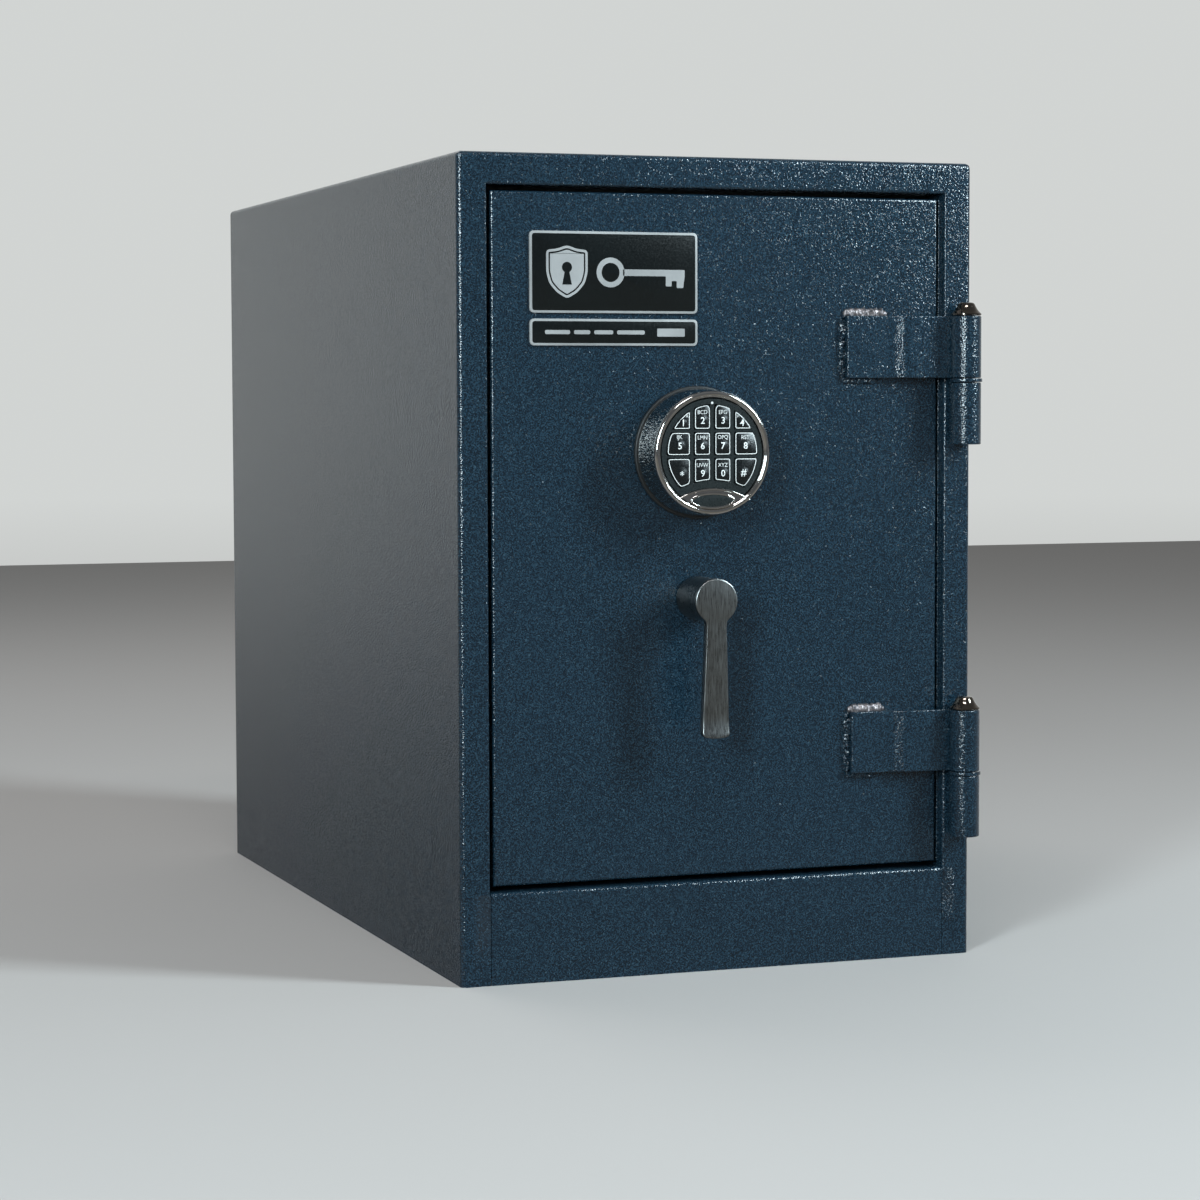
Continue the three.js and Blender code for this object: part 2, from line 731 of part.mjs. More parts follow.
add('body_shell', bodyShell(), PAINT);
add('front_sill', sill(), PAINT);
add('base_plate', basePlate(), PAINT);
add('back_panel', backPanel(), PAINT);
add('inner_liner', liner(), GREY_PAINT);
add('liner_ceiling', linerCeiling(), GREY_PAINT);
add('insulation_jacket', insulation(), FILL);
add('anchor_plug', anchorPlug(), BLACK);
add('shelf', shelf(), GREY_PAINT);
add('shelf_rail_left', shelfRail(-1), ZINC);
add('shelf_rail_right', shelfRail(1), ZINC);

for (const hinge of HINGES) {
  add(`hinge_strap_${hinge.name}`, hingeStrap(hinge), PAINT);
  add(`hinge_knuckle_${hinge.name}`, frameKnuckle(hinge), PAINT);
  add(`hinge_washer_${hinge.name}`, hingeWasher(hinge), DARK_CHROME);
  add(`hinge_pin_${hinge.name}`, hingePin(hinge), DARK_CHROME);
}

add('door_plate', doorPlate(), PAINT);
add('door_pan', doorPan(), GREY_PAINT);
PAN_SCREWS.forEach((spot, index) => add(`pan_screw_${index + 1}`, panScrew(spot), ZINC));
add('dead_bar', deadBar(), ZINC);
add('bolt_guide', boltGuide(), ZINC);
add('hard_plate', hardPlate(), STEEL);
add('lock_case', lockCase(), ZINC);
add('relocker', relocker(), ZINC);
add('nameplate_upper', namePlate(UPPER_PLATE), BLACK);
add('nameplate_lower', namePlate(LOWER_PLATE), BLACK);

add('keypad_base', keypadBase(), BLACK);
add('keypad_housing', keypadHousing(), CHROME);
add('keypad_face', keypadFace(), BLACK);
add('keypad_badge', keypadBadge(), BLACK);
add('keypad_lamp', keypadLamp(), LENS);
add('keypad_board', keypadBoard(), BLACK);
add('keypad_battery', keypadBattery(), BLACK);
add('keypad_cable', keypadCable(), BLACK);
KEY_NAMES.forEach((names, row) => {
  names.forEach((name, column) => add(`key_${name}`, keypadKey(row, column), KEY_BLACK));
});

add('handle_lever', handleLever(), NICKEL);
add('handle_spindle', handleSpindle(), STEEL);
add('spindle_cam', spindleCam(), ZINC);
add('bolt_bar', boltBar(), ZINC);
BOLT_LEVELS.forEach((z, index) => add(`locking_bolt_${index + 1}`, lockingBolt(z), STEEL));
add('lock_bolt', lockBolt(), STEEL);

export default group;
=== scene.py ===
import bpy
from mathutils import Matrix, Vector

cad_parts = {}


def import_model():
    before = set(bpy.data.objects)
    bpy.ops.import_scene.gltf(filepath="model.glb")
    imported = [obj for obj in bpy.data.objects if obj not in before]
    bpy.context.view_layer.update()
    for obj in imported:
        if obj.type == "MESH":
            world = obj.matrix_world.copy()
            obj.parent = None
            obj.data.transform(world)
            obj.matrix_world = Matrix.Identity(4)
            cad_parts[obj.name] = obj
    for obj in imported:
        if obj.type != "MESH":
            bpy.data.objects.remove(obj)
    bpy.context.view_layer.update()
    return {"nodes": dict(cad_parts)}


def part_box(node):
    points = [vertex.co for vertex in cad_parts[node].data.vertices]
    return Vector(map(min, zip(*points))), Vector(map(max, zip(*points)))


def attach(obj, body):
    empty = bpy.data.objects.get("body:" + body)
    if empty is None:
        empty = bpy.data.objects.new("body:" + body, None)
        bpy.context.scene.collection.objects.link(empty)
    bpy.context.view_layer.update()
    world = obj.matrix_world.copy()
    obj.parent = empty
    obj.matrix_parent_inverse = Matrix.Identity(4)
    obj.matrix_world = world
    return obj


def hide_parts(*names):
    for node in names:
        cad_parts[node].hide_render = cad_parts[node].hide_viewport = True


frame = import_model()

import math
import random

import bmesh
import bpy
from mathutils import Matrix, Vector, noise

SEED = 7
MM = 0.001
NO_RADIUS = 1e-7
SAME_PLACE = 0.02 * MM
SHEET = 3 * MM
MOUTH_GAP = 0.5 * MM
JAMB_DEPTH = 26 * MM
PAINT_SLOT = "paint"
nodes = frame["nodes"]
rng = random.Random(SEED)


# ---------------------------------------------------------------- material helpers

def fill_band(band, stops):
    """Writes stops, each (position, colour), into a colour ramp."""
    (first, first_colour), (last, last_colour) = stops[0], stops[-1]
    band.elements[0].position, band.elements[0].color = first, (*first_colour, 1)
    band.elements[1].position, band.elements[1].color = last, (*last_colour, 1)
    for at, colour in stops[1:-1]:
        band.elements.new(at).color = (*colour, 1)


class Shader:
    """A material being wired: one Principled BSDF plus whatever feeds it."""

    def __init__(self, name, base, roughness, metallic=0.0):
        self.material = bpy.data.materials.new(name)
        self.material.use_nodes = True
        self.tree = self.material.node_tree
        self.bsdf = self.tree.nodes["Principled BSDF"]
        self.set("Base Color", (*base, 1.0))
        self.set("Roughness", roughness)
        self.set("Metallic", metallic)
        coords = self.tree.nodes.new("ShaderNodeTexCoord")
        self.place = coords.outputs["Object"]

    def set(self, socket, value):
        self.bsdf.inputs[socket].default_value = value

    def link(self, a, b):
        self.tree.links.new(a, b)

    def node(self, kind, **values):
        made = self.tree.nodes.new(kind)
        for key, value in values.items():
            setattr(made, key, value)
        return made

    def stretched(self, scale):
        mapping = self.node("ShaderNodeMapping")
        mapping.inputs["Scale"].default_value = scale
        self.link(self.place, mapping.inputs["Vector"])
        return mapping.outputs["Vector"]

    def cloud(self, scale, detail=2.0, rough=0.5, where=None):
        made = self.node("ShaderNodeTexNoise")
        made.inputs["Scale"].default_value = scale
        made.inputs["Detail"].default_value = detail
        made.inputs["Roughness"].default_value = rough
        self.link(where or self.place, made.inputs["Vector"])
        return made.outputs["Fac"]

    def flakes(self, scale):
        made = self.node("ShaderNodeTexVoronoi")
        made.inputs["Scale"].default_value = scale
        self.link(self.place, made.inputs["Vector"])
        return made.outputs["Color"]

    def ramp(self, fac, stops):
        made = self.node("ShaderNodeValToRGB")
        fill_band(made.color_ramp, stops)
        self.link(fac, made.inputs["Fac"])
        return made.outputs["Color"]

    def grey(self, fac, stops):
        return self.ramp(fac, [(at, (v, v, v)) for at, v in stops])

    def mix(self, fac, a, b):
        made = self.node("ShaderNodeMix", data_type="RGBA")
        for socket, value in ((made.inputs[0], fac), (made.inputs[6], a), (made.inputs[7], b)):
            if isinstance(value, bpy.types.NodeSocket):
                self.link(value, socket)
            elif isinstance(value, (int, float)):
                socket.default_value = value
            else:
                socket.default_value = (*value, 1)
        return made.outputs[2]

    def colour(self, output):
        self.link(output, self.bsdf.inputs["Base Color"])

    def roughness(self, output):
        self.link(output, self.bsdf.inputs["Roughness"])

    def bump(self, height, distance, strength=1.0, under=None):
        made = self.node("ShaderNodeBump")
        made.inputs["Distance"].default_value = distance
        made.inputs["Strength"].default_value = strength
        self.link(height, made.inputs["Height"])
        if under is not None:
            self.link(under, made.inputs["Normal"])
        self.link(made.outputs["Normal"], self.bsdf.inputs["Normal"])
        return made.outputs["Normal"]


# ---------------------------------------------------------------- materials

def granite_paint():
    """Navy powder coat: small light and dark flakes under a glossy orange-peel skin."""
    s = Shader("navy_granite_paint", (0.0085, 0.0215, 0.0350), 0.11)
    s.set("IOR", 1.52)
    grain = s.cloud(900, 2, 0.6)
    clump = s.cloud(300, 3, 0.6)
    drift = s.cloud(9, 2, 0.5)
    dark_speck = (0.0010, 0.0030, 0.0060)
    dark_clump = (0.0030, 0.0078, 0.0145)
    pale_drift = (0.0100, 0.0240, 0.0400)
    tone = s.ramp(s.flakes(1250), [
        (0.00, (0.0010, 0.0032, 0.0056)),
        (0.30, (0.0034, 0.0098, 0.0168)),
        (0.60, (0.0066, 0.0182, 0.0292)),
        (0.82, (0.0108, 0.0258, 0.0395)),
        (1.00, (0.0280, 0.0500, 0.0660)),
    ])
    tone = s.mix(s.grey(grain, [(0.36, 0.9), (0.45, 0.0)]), tone, dark_speck)
    tone = s.mix(s.grey(clump, [(0.55, 0.0), (0.72, 0.35)]), tone, dark_clump)
    tone = s.mix(s.grey(drift, [(0.3, 0.0), (0.7, 0.10)]), tone, pale_drift)
    s.colour(tone)
    s.roughness(s.grey(s.cloud(700, 2), [(0.3, 0.07), (0.7, 0.15)]))
    depth = 0.3 * MM
    peel = s.bump(s.cloud(1050, 1, 0.5), depth, 0.95)
    s.bump(s.cloud(420, 1, 0.5), depth, 0.6, under=peel)
    return s.material


def enamel(name, base, roughness=0.45):
    s = Shader(name, base, roughness)
    darker = [c * 0.86 for c in base]
    s.colour(s.mix(s.grey(s.cloud(14, 3), [(0.3, 0.0), (0.75, 1.0)]), base, darker))
    s.roughness(s.grey(s.cloud(260, 2), [(0.3, roughness - 0.08), (0.7, roughness + 0.08)]))
    s.bump(s.cloud(420, 2), 0.00018, 0.5)
    return s.material


def brushed(name, base, roughness, along, density=900):
    """Satin metal with fine scratches that run along one axis (0 x, 1 y, 2 z)."""
    s = Shader(name, base, roughness, 1.0)
    scale = [1.0, 1.0, 1.0]
    scale[along] = 0.06
    darker = [c * 0.70 for c in base]
    lighter = [c * 1.2 for c in base]
    streak = s.cloud(density, 3, 0.7, s.stretched(scale))
    smear = s.cloud(60, 3, 0.6)
    s.colour(s.mix(s.grey(streak, [(0.35, 0.0), (0.65, 1.0)]), darker, lighter))
    shine = s.mix(0.5, s.grey(streak, [(0.3, roughness - 0.09), (0.7, roughness + 0.12)]),
                  s.grey(smear, [(0.3, roughness - 0.05), (0.7, roughness + 0.1)]))
    s.roughness(shine)
    s.bump(streak, 0.00006, 0.35)
    return s.material


def plated(name, base, roughness, spread=0.06, bump=0.00004):
    s = Shader(name, base, roughness, 1.0)
    stain = s.cloud(70, 4, 0.6)
    darker = [c * 0.85 for c in base]
    s.colour(s.mix(s.grey(stain, [(0.3, 0.0), (0.7, 1.0)]), base, darker))
    s.roughness(s.grey(stain, [(0.25, max(0.02, roughness - spread)), (0.75, roughness + spread)]))
    s.bump(s.cloud(500, 2), bump, 0.3)
    return s.material


def plastic(name, base, roughness, bump=0.00005):
    s = Shader(name, base, roughness)
    fine = s.cloud(900, 2)
    lighter = [c * 1.35 for c in base]
    s.colour(s.mix(s.grey(s.cloud(40, 3), [(0.3, 0.0), (0.7, 1.0)]), base, lighter))
    s.roughness(s.grey(fine, [(0.3, max(0.03, roughness - 0.05)), (0.7, roughness + 0.07)]))
    s.bump(fine, bump, 0.3)
    return s.material


def weld_metal():
    s = Shader("weld_metal", (0.30, 0.28, 0.28), 0.40, 0.75)
    spots = s.cloud(520, 4, 0.7)
    s.colour(s.ramp(spots, [
        (0.34, (0.020, 0.030, 0.042)),
        (0.46, (0.11, 0.095, 0.098)),
        (0.60, (0.21, 0.180, 0.180)),
        (0.76, (0.40, 0.38, 0.385)),
    ]))
    s.roughness(s.grey(spots, [(0.3, 0.5), (0.7, 0.30)]))
    s.bump(s.cloud(600, 4, 0.7), 0.0004, 0.7)
    return s.material


def cast_fill():
    s = Shader("cast_fill", (0.55, 0.53, 0.47), 0.95)
    s.colour(s.ramp(s.cloud(120, 5), [(0.3, (0.34, 0.32, 0.28)), (0.7, (0.62, 0.60, 0.54))]))
    s.bump(s.cloud(300, 5), 0.0005, 0.6)
    return s.material


PAINT = granite_paint()
GREY = enamel("grey_enamel", (0.27, 0.28, 0.29))
NICKEL = brushed("satin_nickel", (0.195, 0.200, 0.200), 0.28, along=2, density=1600)
STEEL = brushed("drawn_steel", (0.55, 0.56, 0.57), 0.28, along=0)
ZINC = plated("zinc_plate", (0.50, 0.50, 0.47), 0.38)
CHROME = plated("polished_chrome", (0.56, 0.54, 0.52), 0.08, 0.02, bump=0.000001)
BLACK_CHROME = plated("black_chrome", (0.150, 0.128, 0.108), 0.10, 0.04)
SILVER_PRINT = plastic("bare_aluminium_print", (0.165, 0.163, 0.162), 0.40)
BLACK_PRINT = plastic("black_anodised", (0.0012, 0.0022, 0.0024), 0.20)
GLOSS_BLACK = plastic("satin_black_face", (0.0050, 0.0075, 0.0080), 0.30)
KEY_BLACK = plastic("key_black", (0.0018, 0.0028, 0.0032), 0.26)
KEY_PRINT = plastic("key_print", (0.45, 0.45, 0.44), 0.45)
MATTE_BLACK = plastic("matte_black", (0.0050, 0.0050, 0.0052), 0.45, 0.0001)
LAMP = plastic("lamp_lens", (0.45, 0.45, 0.45), 0.12)
WELD = weld_metal()
FILL = cast_fill()


# ---------------------------------------------------------------- mesh helpers

def smooth_by_angle(mesh, degrees):
    limit = math.radians(degrees)
    bm = bmesh.new()
    bm.from_mesh(mesh)
    for face in bm.faces:
        face.smooth = True
    for edge in bm.edges:
        edge.smooth = len(edge.link_faces) == 2 and edge.calc_face_angle(0.0) < limit
    bm.to_mesh(mesh)
    bm.free()


def weigh_normals(piece):
    """Keeps large faces flat to the eye, so that only the fillets between them shade round."""
    shade = piece.modifiers.new("shade", "WEIGHTED_NORMAL")
    shade.mode = "FACE_AREA_WITH_ANGLE"
    shade.weight = 80
    shade.keep_sharp = True


def finish_mesh(name, bm, material, body, slot=None, replaces=(), smooth=32, flat_faces=False):
    bmesh.ops.recalc_face_normals(bm, faces=bm.faces[:])
    mesh = bpy.data.meshes.new(name)
    bm.to_mesh(mesh)
    bm.free()
    smooth_by_angle(mesh, smooth)
    made = bpy.data.objects.new(name, mesh)
    bpy.context.scene.collection.objects.link(made)
    made.data.materials.append(material)
    if flat_faces:
        weigh_normals(made)
    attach(made, body)
    if replaces:
        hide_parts(*replaces)
    return made


def fillet(points, radius, steps=4, closed=False):
    """Rounds every corner of a polyline, by at most the radius."""
    out = []
    count = len(points)
    for i, point in enumerate(points):
        here = Vector(point)
        if not closed and i in (0, count - 1):
            out.append(here)
            continue
        back = Vector(points[i - 1]) - here
        ahead = Vector(points[(i + 1) % count]) - here
        reach = min(radius, back.length * 0.45, ahead.length * 0.45)
        start = here + back.normalized() * reach
        end = here + ahead.normalized() * reach
        for step in range(steps + 1):
            t = step / steps
            out.append(start * (1 - t) ** 2 + here * 2 * t * (1 - t) + end * t * t)
    return out


def place(u, v, height, centre, axis):
    """The point at (u, v) from an axis that runs along Z or Y, at a height along it."""
    if axis == "Z":
        return (centre[0] + u, centre[1] + v, height)
    return (centre[0] + u, height, centre[1] + v)


def turned(name, profile, centre, axis, material, body, segments=96, **extra):
    """A lathe body. The profile is (radius, height) in metres, from axis to axis or a closed loop."""
    bm = bmesh.new()
    rings = []
    for radius, height in profile:
        if radius < NO_RADIUS:
            spot = place(0.0, 0.0, height, centre, axis)
            rings.append([bm.verts.new(spot)])
            continue
        ring = []
        for k in range(segments):
            turn = 2 * math.pi * k / segments
            spot = place(radius * math.cos(turn), radius * math.sin(turn), height, centre, axis)
            ring.append(bm.verts.new(spot))
        rings.append(ring)
    pairs = list(zip(rings, rings[1:]))
    if len(rings[0]) > 1:
        pairs.append((rings[-1], rings[0]))
    for low, high in pairs:
        for k in range(segments):
            n = (k + 1) % segments
            quad = [low[k % len(low)], low[n % len(low)], high[n % len(high)], high[k % len(high)]]
            face = list(dict.fromkeys(quad))
            if len(face) > 2:
                bm.faces.new(face)
    return finish_mesh(name, bm, material, body, **extra)


def inset(points, distance):
    """Moves a smooth closed outline inwards. The outline runs anticlockwise."""
    out = []
    count = len(points)
    for i in range(count):
        along = Vector(points[(i + 1) % count]) - Vector(points[i - 1])
        normal = Vector((-along.y, along.x)).normalized()
        out.append(Vector(points[i]) + normal * distance)
    return out


def rounded_outline(points, count, passes):
    """Spaces a closed outline evenly, then rounds its corners by averaging neighbours."""
    loop = points + [points[0]]
    lengths = [0.0]
    for a, b in zip(loop, loop[1:]):
        lengths.append(lengths[-1] + (b - a).length)
    out = []
    k = 0
    for i in range(count):
        want = lengths[-1] * i / count
        while lengths[k + 1] < want:
            k += 1
        share = (want - lengths[k]) / max(1e-12, lengths[k + 1] - lengths[k])
        out.append(loop[k].lerp(loop[k + 1], share))
    for _ in range(passes):
        out = [(out[i - 1] + out[i] * 2 + out[(i + 1) % count]) / 4 for i in range(count)]
    return out


def join_rings(bm, rings, capped=True):
    """Builds the strips between neighbouring rings of equal length, and closes the ends."""
    for a, b in zip(rings, rings[1:]):
        for k in range(len(a)):
            n = (k + 1) % len(a)
            bm.faces.new((a[k], a[n], b[n], b[k]))
    if capped:
        bm.faces.new(rings[0])
        bm.faces.new(rings[-1])


def skin(layers):
    """Joins closed outlines of equal length, each (points in x and z, y), into one closed skin."""
    bm = bmesh.new()
    rings = [[bm.verts.new((p[0], y, p[1])) for p in points] for points, y in layers]
    join_rings(bm, rings)
    return bm


def stacked(name, layers, material, body, **extra):
    return finish_mesh(name, skin(layers), material, body, **extra)


def band(name, outline, width, y_back, y_front, material, body, **extra):
    """A flat printed line that follows a closed outline."""
    inner = inset(outline, width)
    layers = [(outline, y_back), (outline, y_front), (inner, y_front), (inner, y_back)]
    bm = bmesh.new()
    rings = [[bm.verts.new((p[0], y, p[1])) for p in points] for points, y in layers]
    join_rings(bm, rings + [rings[0]], capped=False)
    return finish_mesh(name, bm, material, body, **extra)


def rounded_box_outline(x0, x1, z0, z1, radius, steps=6):
    return fillet([(x0, z0), (x1, z0), (x1, z1), (x0, z1)], radius * 1.3, steps, closed=True)


def swept(path, radius, y, closed=False, flat=1.0, sides=12):
    """A bead of round section along a path in the x-z plane at depth y. Its radius may be a list."""
    bm = bmesh.new()
    rings = []
    count = len(path)
    for i in range(count):
        before = Vector(path[i - 1]) if closed or i else Vector(path[i])
        after = Vector(path[(i + 1) % count]) if closed or i < count - 1 else Vector(path[i])
        along = (after - before).normalized()
        across = Vector((-along.y, along.x))
        size = radius[i] if isinstance(radius, list) else radius
        ring = []
        for k in range(sides):
            turn = 2 * math.pi * k / sides
            spot = Vector(path[i]) + across * (size * math.cos(turn))
            ring.append(bm.verts.new((spot.x, y - size * flat * math.sin(turn), spot.y)))
        rings.append(ring)
    join_rings(bm, rings + [rings[0]] if closed else rings, capped=not closed)
    return bm


def sweep(name, path, radius, y, material, body, closed=False, **extra):
    return finish_mesh(name, swept(path, radius, y, closed), material, body, **extra)


# ---------------------------------------------------------------- CAD nodes that stay

def dress(node, material, bevel=0.0006, segments=3, angle=35, panel=False):
    """Gives a CAD node its material, and rounds its hard edges with modifiers.

    A panel keeps flat shading and its own faces: a dissolved face with a hole in it can fold over the hole.
    """
    piece = nodes[node]
    piece.data.materials.clear()
    piece.data.materials.append(material)
    for polygon in piece.data.polygons:
        polygon.material_index = 0
        polygon.use_smooth = not panel
    weld = piece.modifiers.new("weld", "WELD")
    weld.merge_threshold = SAME_PLACE
    if not panel:
        flat = piece.modifiers.new("flat", "DECIMATE")
        flat.decimate_type = "DISSOLVE"
        flat.angle_limit = math.radians(0.6)
    if bevel:
        edge = piece.modifiers.new("edge", "BEVEL")
        edge.width = bevel
        edge.segments = segments
        edge.limit_method = "ANGLE"
        edge.angle_limit = math.radians(angle)
        edge.use_clamp_overlap = True
        edge.miter_outer = "MITER_ARC"
    if not panel:
        weigh_normals(piece)
    return piece


dress("base_plate", PAINT, 0.0006, panel=True)
dress("back_panel", PAINT, 0.0006, panel=True)
for end in ("upper", "lower"):
    dress("hinge_washer_" + end, PAINT, 0.0005)
dress("inner_liner", GREY, 0.0, panel=True)
dress("liner_ceiling", GREY, 0.0, panel=True)
dress("shelf", GREY, 0.0006, panel=True)
dress("door_pan", GREY, 0.0006, panel=True)
dress("insulation_jacket", FILL, 0.0, panel=True)
dress("anchor_plug", MATTE_BLACK, 0.0004)
for part in ("shelf_rail_left", "shelf_rail_right", "dead_bar", "bolt_guide", "lock_case", "relocker",
             "spindle_cam", "bolt_bar", "pan_screw_1", "pan_screw_2", "pan_screw_3", "pan_screw_4"):
    dress(part, ZINC, 0.0004, 2)
for part in ("hard_plate", "handle_spindle", "lock_bolt", "locking_bolt_1", "locking_bolt_2",
             "locking_bolt_3"):
    dress(part, STEEL, 0.0004, 2)
for part in ("keypad_board", "keypad_battery", "keypad_cable", "keypad_base"):
    dress(part, MATTE_BLACK, 0.0003, 2)
dress("keypad_face", GLOSS_BLACK, 0.00012, 2, panel=True)
dress("keypad_lamp", LAMP, 0.0001, 2)


# ---------------------------------------------------------------- cabinet and door sheets

def bevel_edges(bm, chosen, radius, segments):
    edges = [e for e in bm.edges if chosen(*(v.co for v in e.verts))]
    bmesh.ops.bevel(bm, geom=edges, offset=radius, segments=segments, profile=0.5, affect="EDGES")


def near(a, b):
    return abs(a - b) < SAME_PLACE


def cabinet():
    """The folded outer sheet: its section runs up one side, across the top and down the other."""
    low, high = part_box("body_shell")
    plate_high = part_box("door_plate")[1]
    sill_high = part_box("front_sill")[1]
    bend, mouth_bend = 3.5 * MM, 2.0 * MM
    door_gap = 3.5 * MM
    side, front, back, tall = -low.x, low.y, high.y, high.z
    mouth = sill_high.x + MOUTH_GAP
    mouth_top = plate_high.z + door_gap
    flange, drop = side - mouth, tall - mouth_top
    jamb = front + JAMB_DEPTH
    section = [
        (0, 0, front), (0, 0, back), (SHEET, SHEET, back), (SHEET, SHEET, front + SHEET),
        (flange - SHEET, drop - SHEET, front + SHEET), (flange - SHEET, drop - SHEET, jamb),
        (flange, drop, jamb), (flange, drop, front),
    ]
    bm = bmesh.new()
    lines = []
    for across, down, y in section:
        x = side - across
        z = tall - down
        corners = [(-x, y, 0), (-x, y, z), (x, y, z), (x, y, 0)]
        lines.append([bm.verts.new(corner) for corner in corners])
    for a, b in zip(lines, lines[1:] + lines[:1]):
        for k in range(3):
            bm.faces.new((a[k], a[k + 1], b[k + 1], b[k]))
    bm.faces.new([line[0] for line in lines])
    bm.faces.new([line[-1] for line in lines])
    bmesh.ops.recalc_face_normals(bm, faces=bm.faces[:])

    def outside(v):
        return near(abs(v.x), side) or near(v.z, tall)

    def outer_edge(a, b):
        if not (outside(a) and outside(b)):
            return False
        if near(a.y, b.y):
            return near(a.x, b.x) or near(a.z, b.z)
        return near(a.z, tall) and near(b.z, tall)

    def mouth_edge(a, b):
        def on(v):
            at_mouth = near(abs(v.x), mouth) or near(v.z, mouth_top)
            return near(v.y, front) and at_mouth and v.z > sill_high.z - MM
        return on(a) and on(b)

    bevel_edges(bm, outer_edge, bend, 6)
    whole = bm.verts[:] + bm.edges[:] + bm.faces[:]
    bmesh.ops.bisect_plane(bm, geom=whole, plane_co=(0, 0, sill_high.z), plane_no=(0, 0, 1))
    bevel_edges(bm, mouth_edge, mouth_bend, 5)
    finish_mesh("cabinet_sheet", bm, PAINT, "safe_body", slot=PAINT_SLOT, replaces=["body_shell"],
                flat_faces=True)


def door_slab():
    """The thick door plate, with its front edges ground round."""
    low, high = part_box("door_plate")
    bm = bmesh.new()
    bmesh.ops.create_cube(bm, size=1)
    for v in bm.verts:
        v.co = Vector(((low.x + high.x) / 2 + v.co.x * (high.x - low.x),
                       (low.y + high.y) / 2 + v.co.y * (high.y - low.y),
                       (low.z + high.z) / 2 + v.co.z * (high.z - low.z)))
    front_edge, rear_edge = 2.0 * MM, 0.6 * MM
    bevel_edges(bm, lambda a, b: near(a.y, low.y) and near(b.y, low.y), front_edge, 5)
    bevel_edges(bm, lambda a, b: near(a.y, high.y) and near(b.y, high.y), rear_edge, 2)
    long_edges = [e for e in bm.edges if e.calc_length() > 80 * MM]
    bmesh.ops.subdivide_edges(bm, edges=long_edges, cuts=6, use_grid_fill=True)
    finish_mesh("door_slab", bm, PAINT, "door", slot=PAINT_SLOT, replaces=["door_plate"], flat_faces=True)


def front_sill():
    """The folded sheet below the door: a flat front, rolled back at the top and turned in at the foot."""
    low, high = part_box("front_sill")
    foot = low.y + JAMB_DEPTH
    roll = 2.6 * MM
    steps = 8
    section = [(foot, 0), (foot, SHEET), (low.y + SHEET, SHEET), (low.y + SHEET, high.z - SHEET),
               (high.y, high.z - SHEET), (high.y, high.z)]
    for i in range(steps + 1):
        turn = math.pi / 2 * i / steps
        section.append((low.y + roll * (1 - math.sin(turn)), high.z - roll * (1 - math.cos(turn))))
    section.append((low.y, 0))
    bm = bmesh.new()
    join_rings(bm, [[bm.verts.new((x, y, z)) for y, z in section] for x in (low.x, high.x)])
    finish_mesh("sill_sheet", bm, PAINT, "safe_body", slot=PAINT_SLOT, replaces=["front_sill"],
                flat_faces=True)


def column(name, outline, bottom, top, radius, body, replaces=()):
    """An upright prism from an anticlockwise outline (x, y), with round edges at both ends."""
    steps = 4
    levels = []
    for i in range(steps + 1):
        turn = math.pi / 2 * i / steps
        levels.append((radius * (1 - math.sin(turn)), bottom + radius * (1 - math.cos(turn))))
    levels += [(away, top + bottom - z) for away, z in levels[::-1]]
    bm = bmesh.new()
    rings = [[bm.verts.new((p[0], p[1], z)) for p in inset(outline, away)] for away, z in levels]
    join_rings(bm, rings)
    finish_mesh(name, bm, PAINT, body, slot=PAINT_SLOT, replaces=replaces, flat_faces=True)


def jamb_strip():
    """The rounded stop that runs down the frame's inner edge on the hinge side."""
    plate_low, plate_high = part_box("door_plate")
    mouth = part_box("front_sill")[1].x + MOUTH_GAP
    inner, outer = mouth - 1.3 * MM, mouth + 0.2 * MM
    front = plate_low.y + 3.0 * MM
    rear = front + 9 * MM
    corners = [(inner, rear), (inner, front), (outer, front), (outer, rear)]
    outline = fillet(corners, 1.0 * MM, 6, closed=True)
    column("jamb_strip", outline, plate_low.z, plate_high.z, 0.2 * MM, "safe_body")


cabinet()
door_slab()
front_sill()
jamb_strip()


# ---------------------------------------------------------------- hinges

STRAP = 5 * MM
JOGGLE = (120.5 * MM, 130.0 * MM)
STRAP_REACH = 150 * MM
HINGE_EDGE = 0.8 * MM
ROLL_STEPS = 72
HINGE_LOW, HINGE_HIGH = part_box("hinge_pin_upper")
HINGE_AT = Vector(((HINGE_LOW.x + HINGE_HIGH.x) / 2, (HINGE_LOW.y + HINGE_HIGH.y) / 2))
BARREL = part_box("hinge_strap_upper")[1].x - HINGE_AT.x


def arc(centre, radius, start, stop, steps):
    """Points on a circle, with both angles in degrees."""
    turns = [math.radians(start + (stop - start) * i / steps) for i in range(steps + 1)]
    return [centre + Vector((math.cos(turn), math.sin(turn))) * radius for turn in turns]


def hinge_strap(end):
    """The strap: flat on the door, a joggle out past the frame, then rolled round the pin."""
    node = "hinge_strap_" + end
    low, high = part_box(node)
    inner_front = high.y - STRAP
    outer_back = HINGE_AT.y + BARREL
    outer_front = outer_back - STRAP
    middle = low.x + 20 * MM
    rear_shift = 1.5 * MM
    foot = fillet([(low.x, high.y), (low.x, inner_front), (middle, inner_front)], 1.2 * MM, 5)
    step = fillet([(middle, inner_front), (JOGGLE[0], inner_front), (JOGGLE[1], outer_front),
                   (STRAP_REACH, outer_front)], 3.2 * MM, 8)
    crease = math.degrees(math.asin((outer_front - HINGE_AT.y) / BARREL))
    roll = arc(HINGE_AT, BARREL, 180 - crease, 450, ROLL_STEPS)
    rear = [(JOGGLE[1] + rear_shift, outer_back), (JOGGLE[0] + rear_shift, high.y)]
    outline = foot[:-1] + step + roll + [Vector(p) for p in rear]
    column(node + "_rolled", outline, low.z, high.z, HINGE_EDGE, "door", [node])


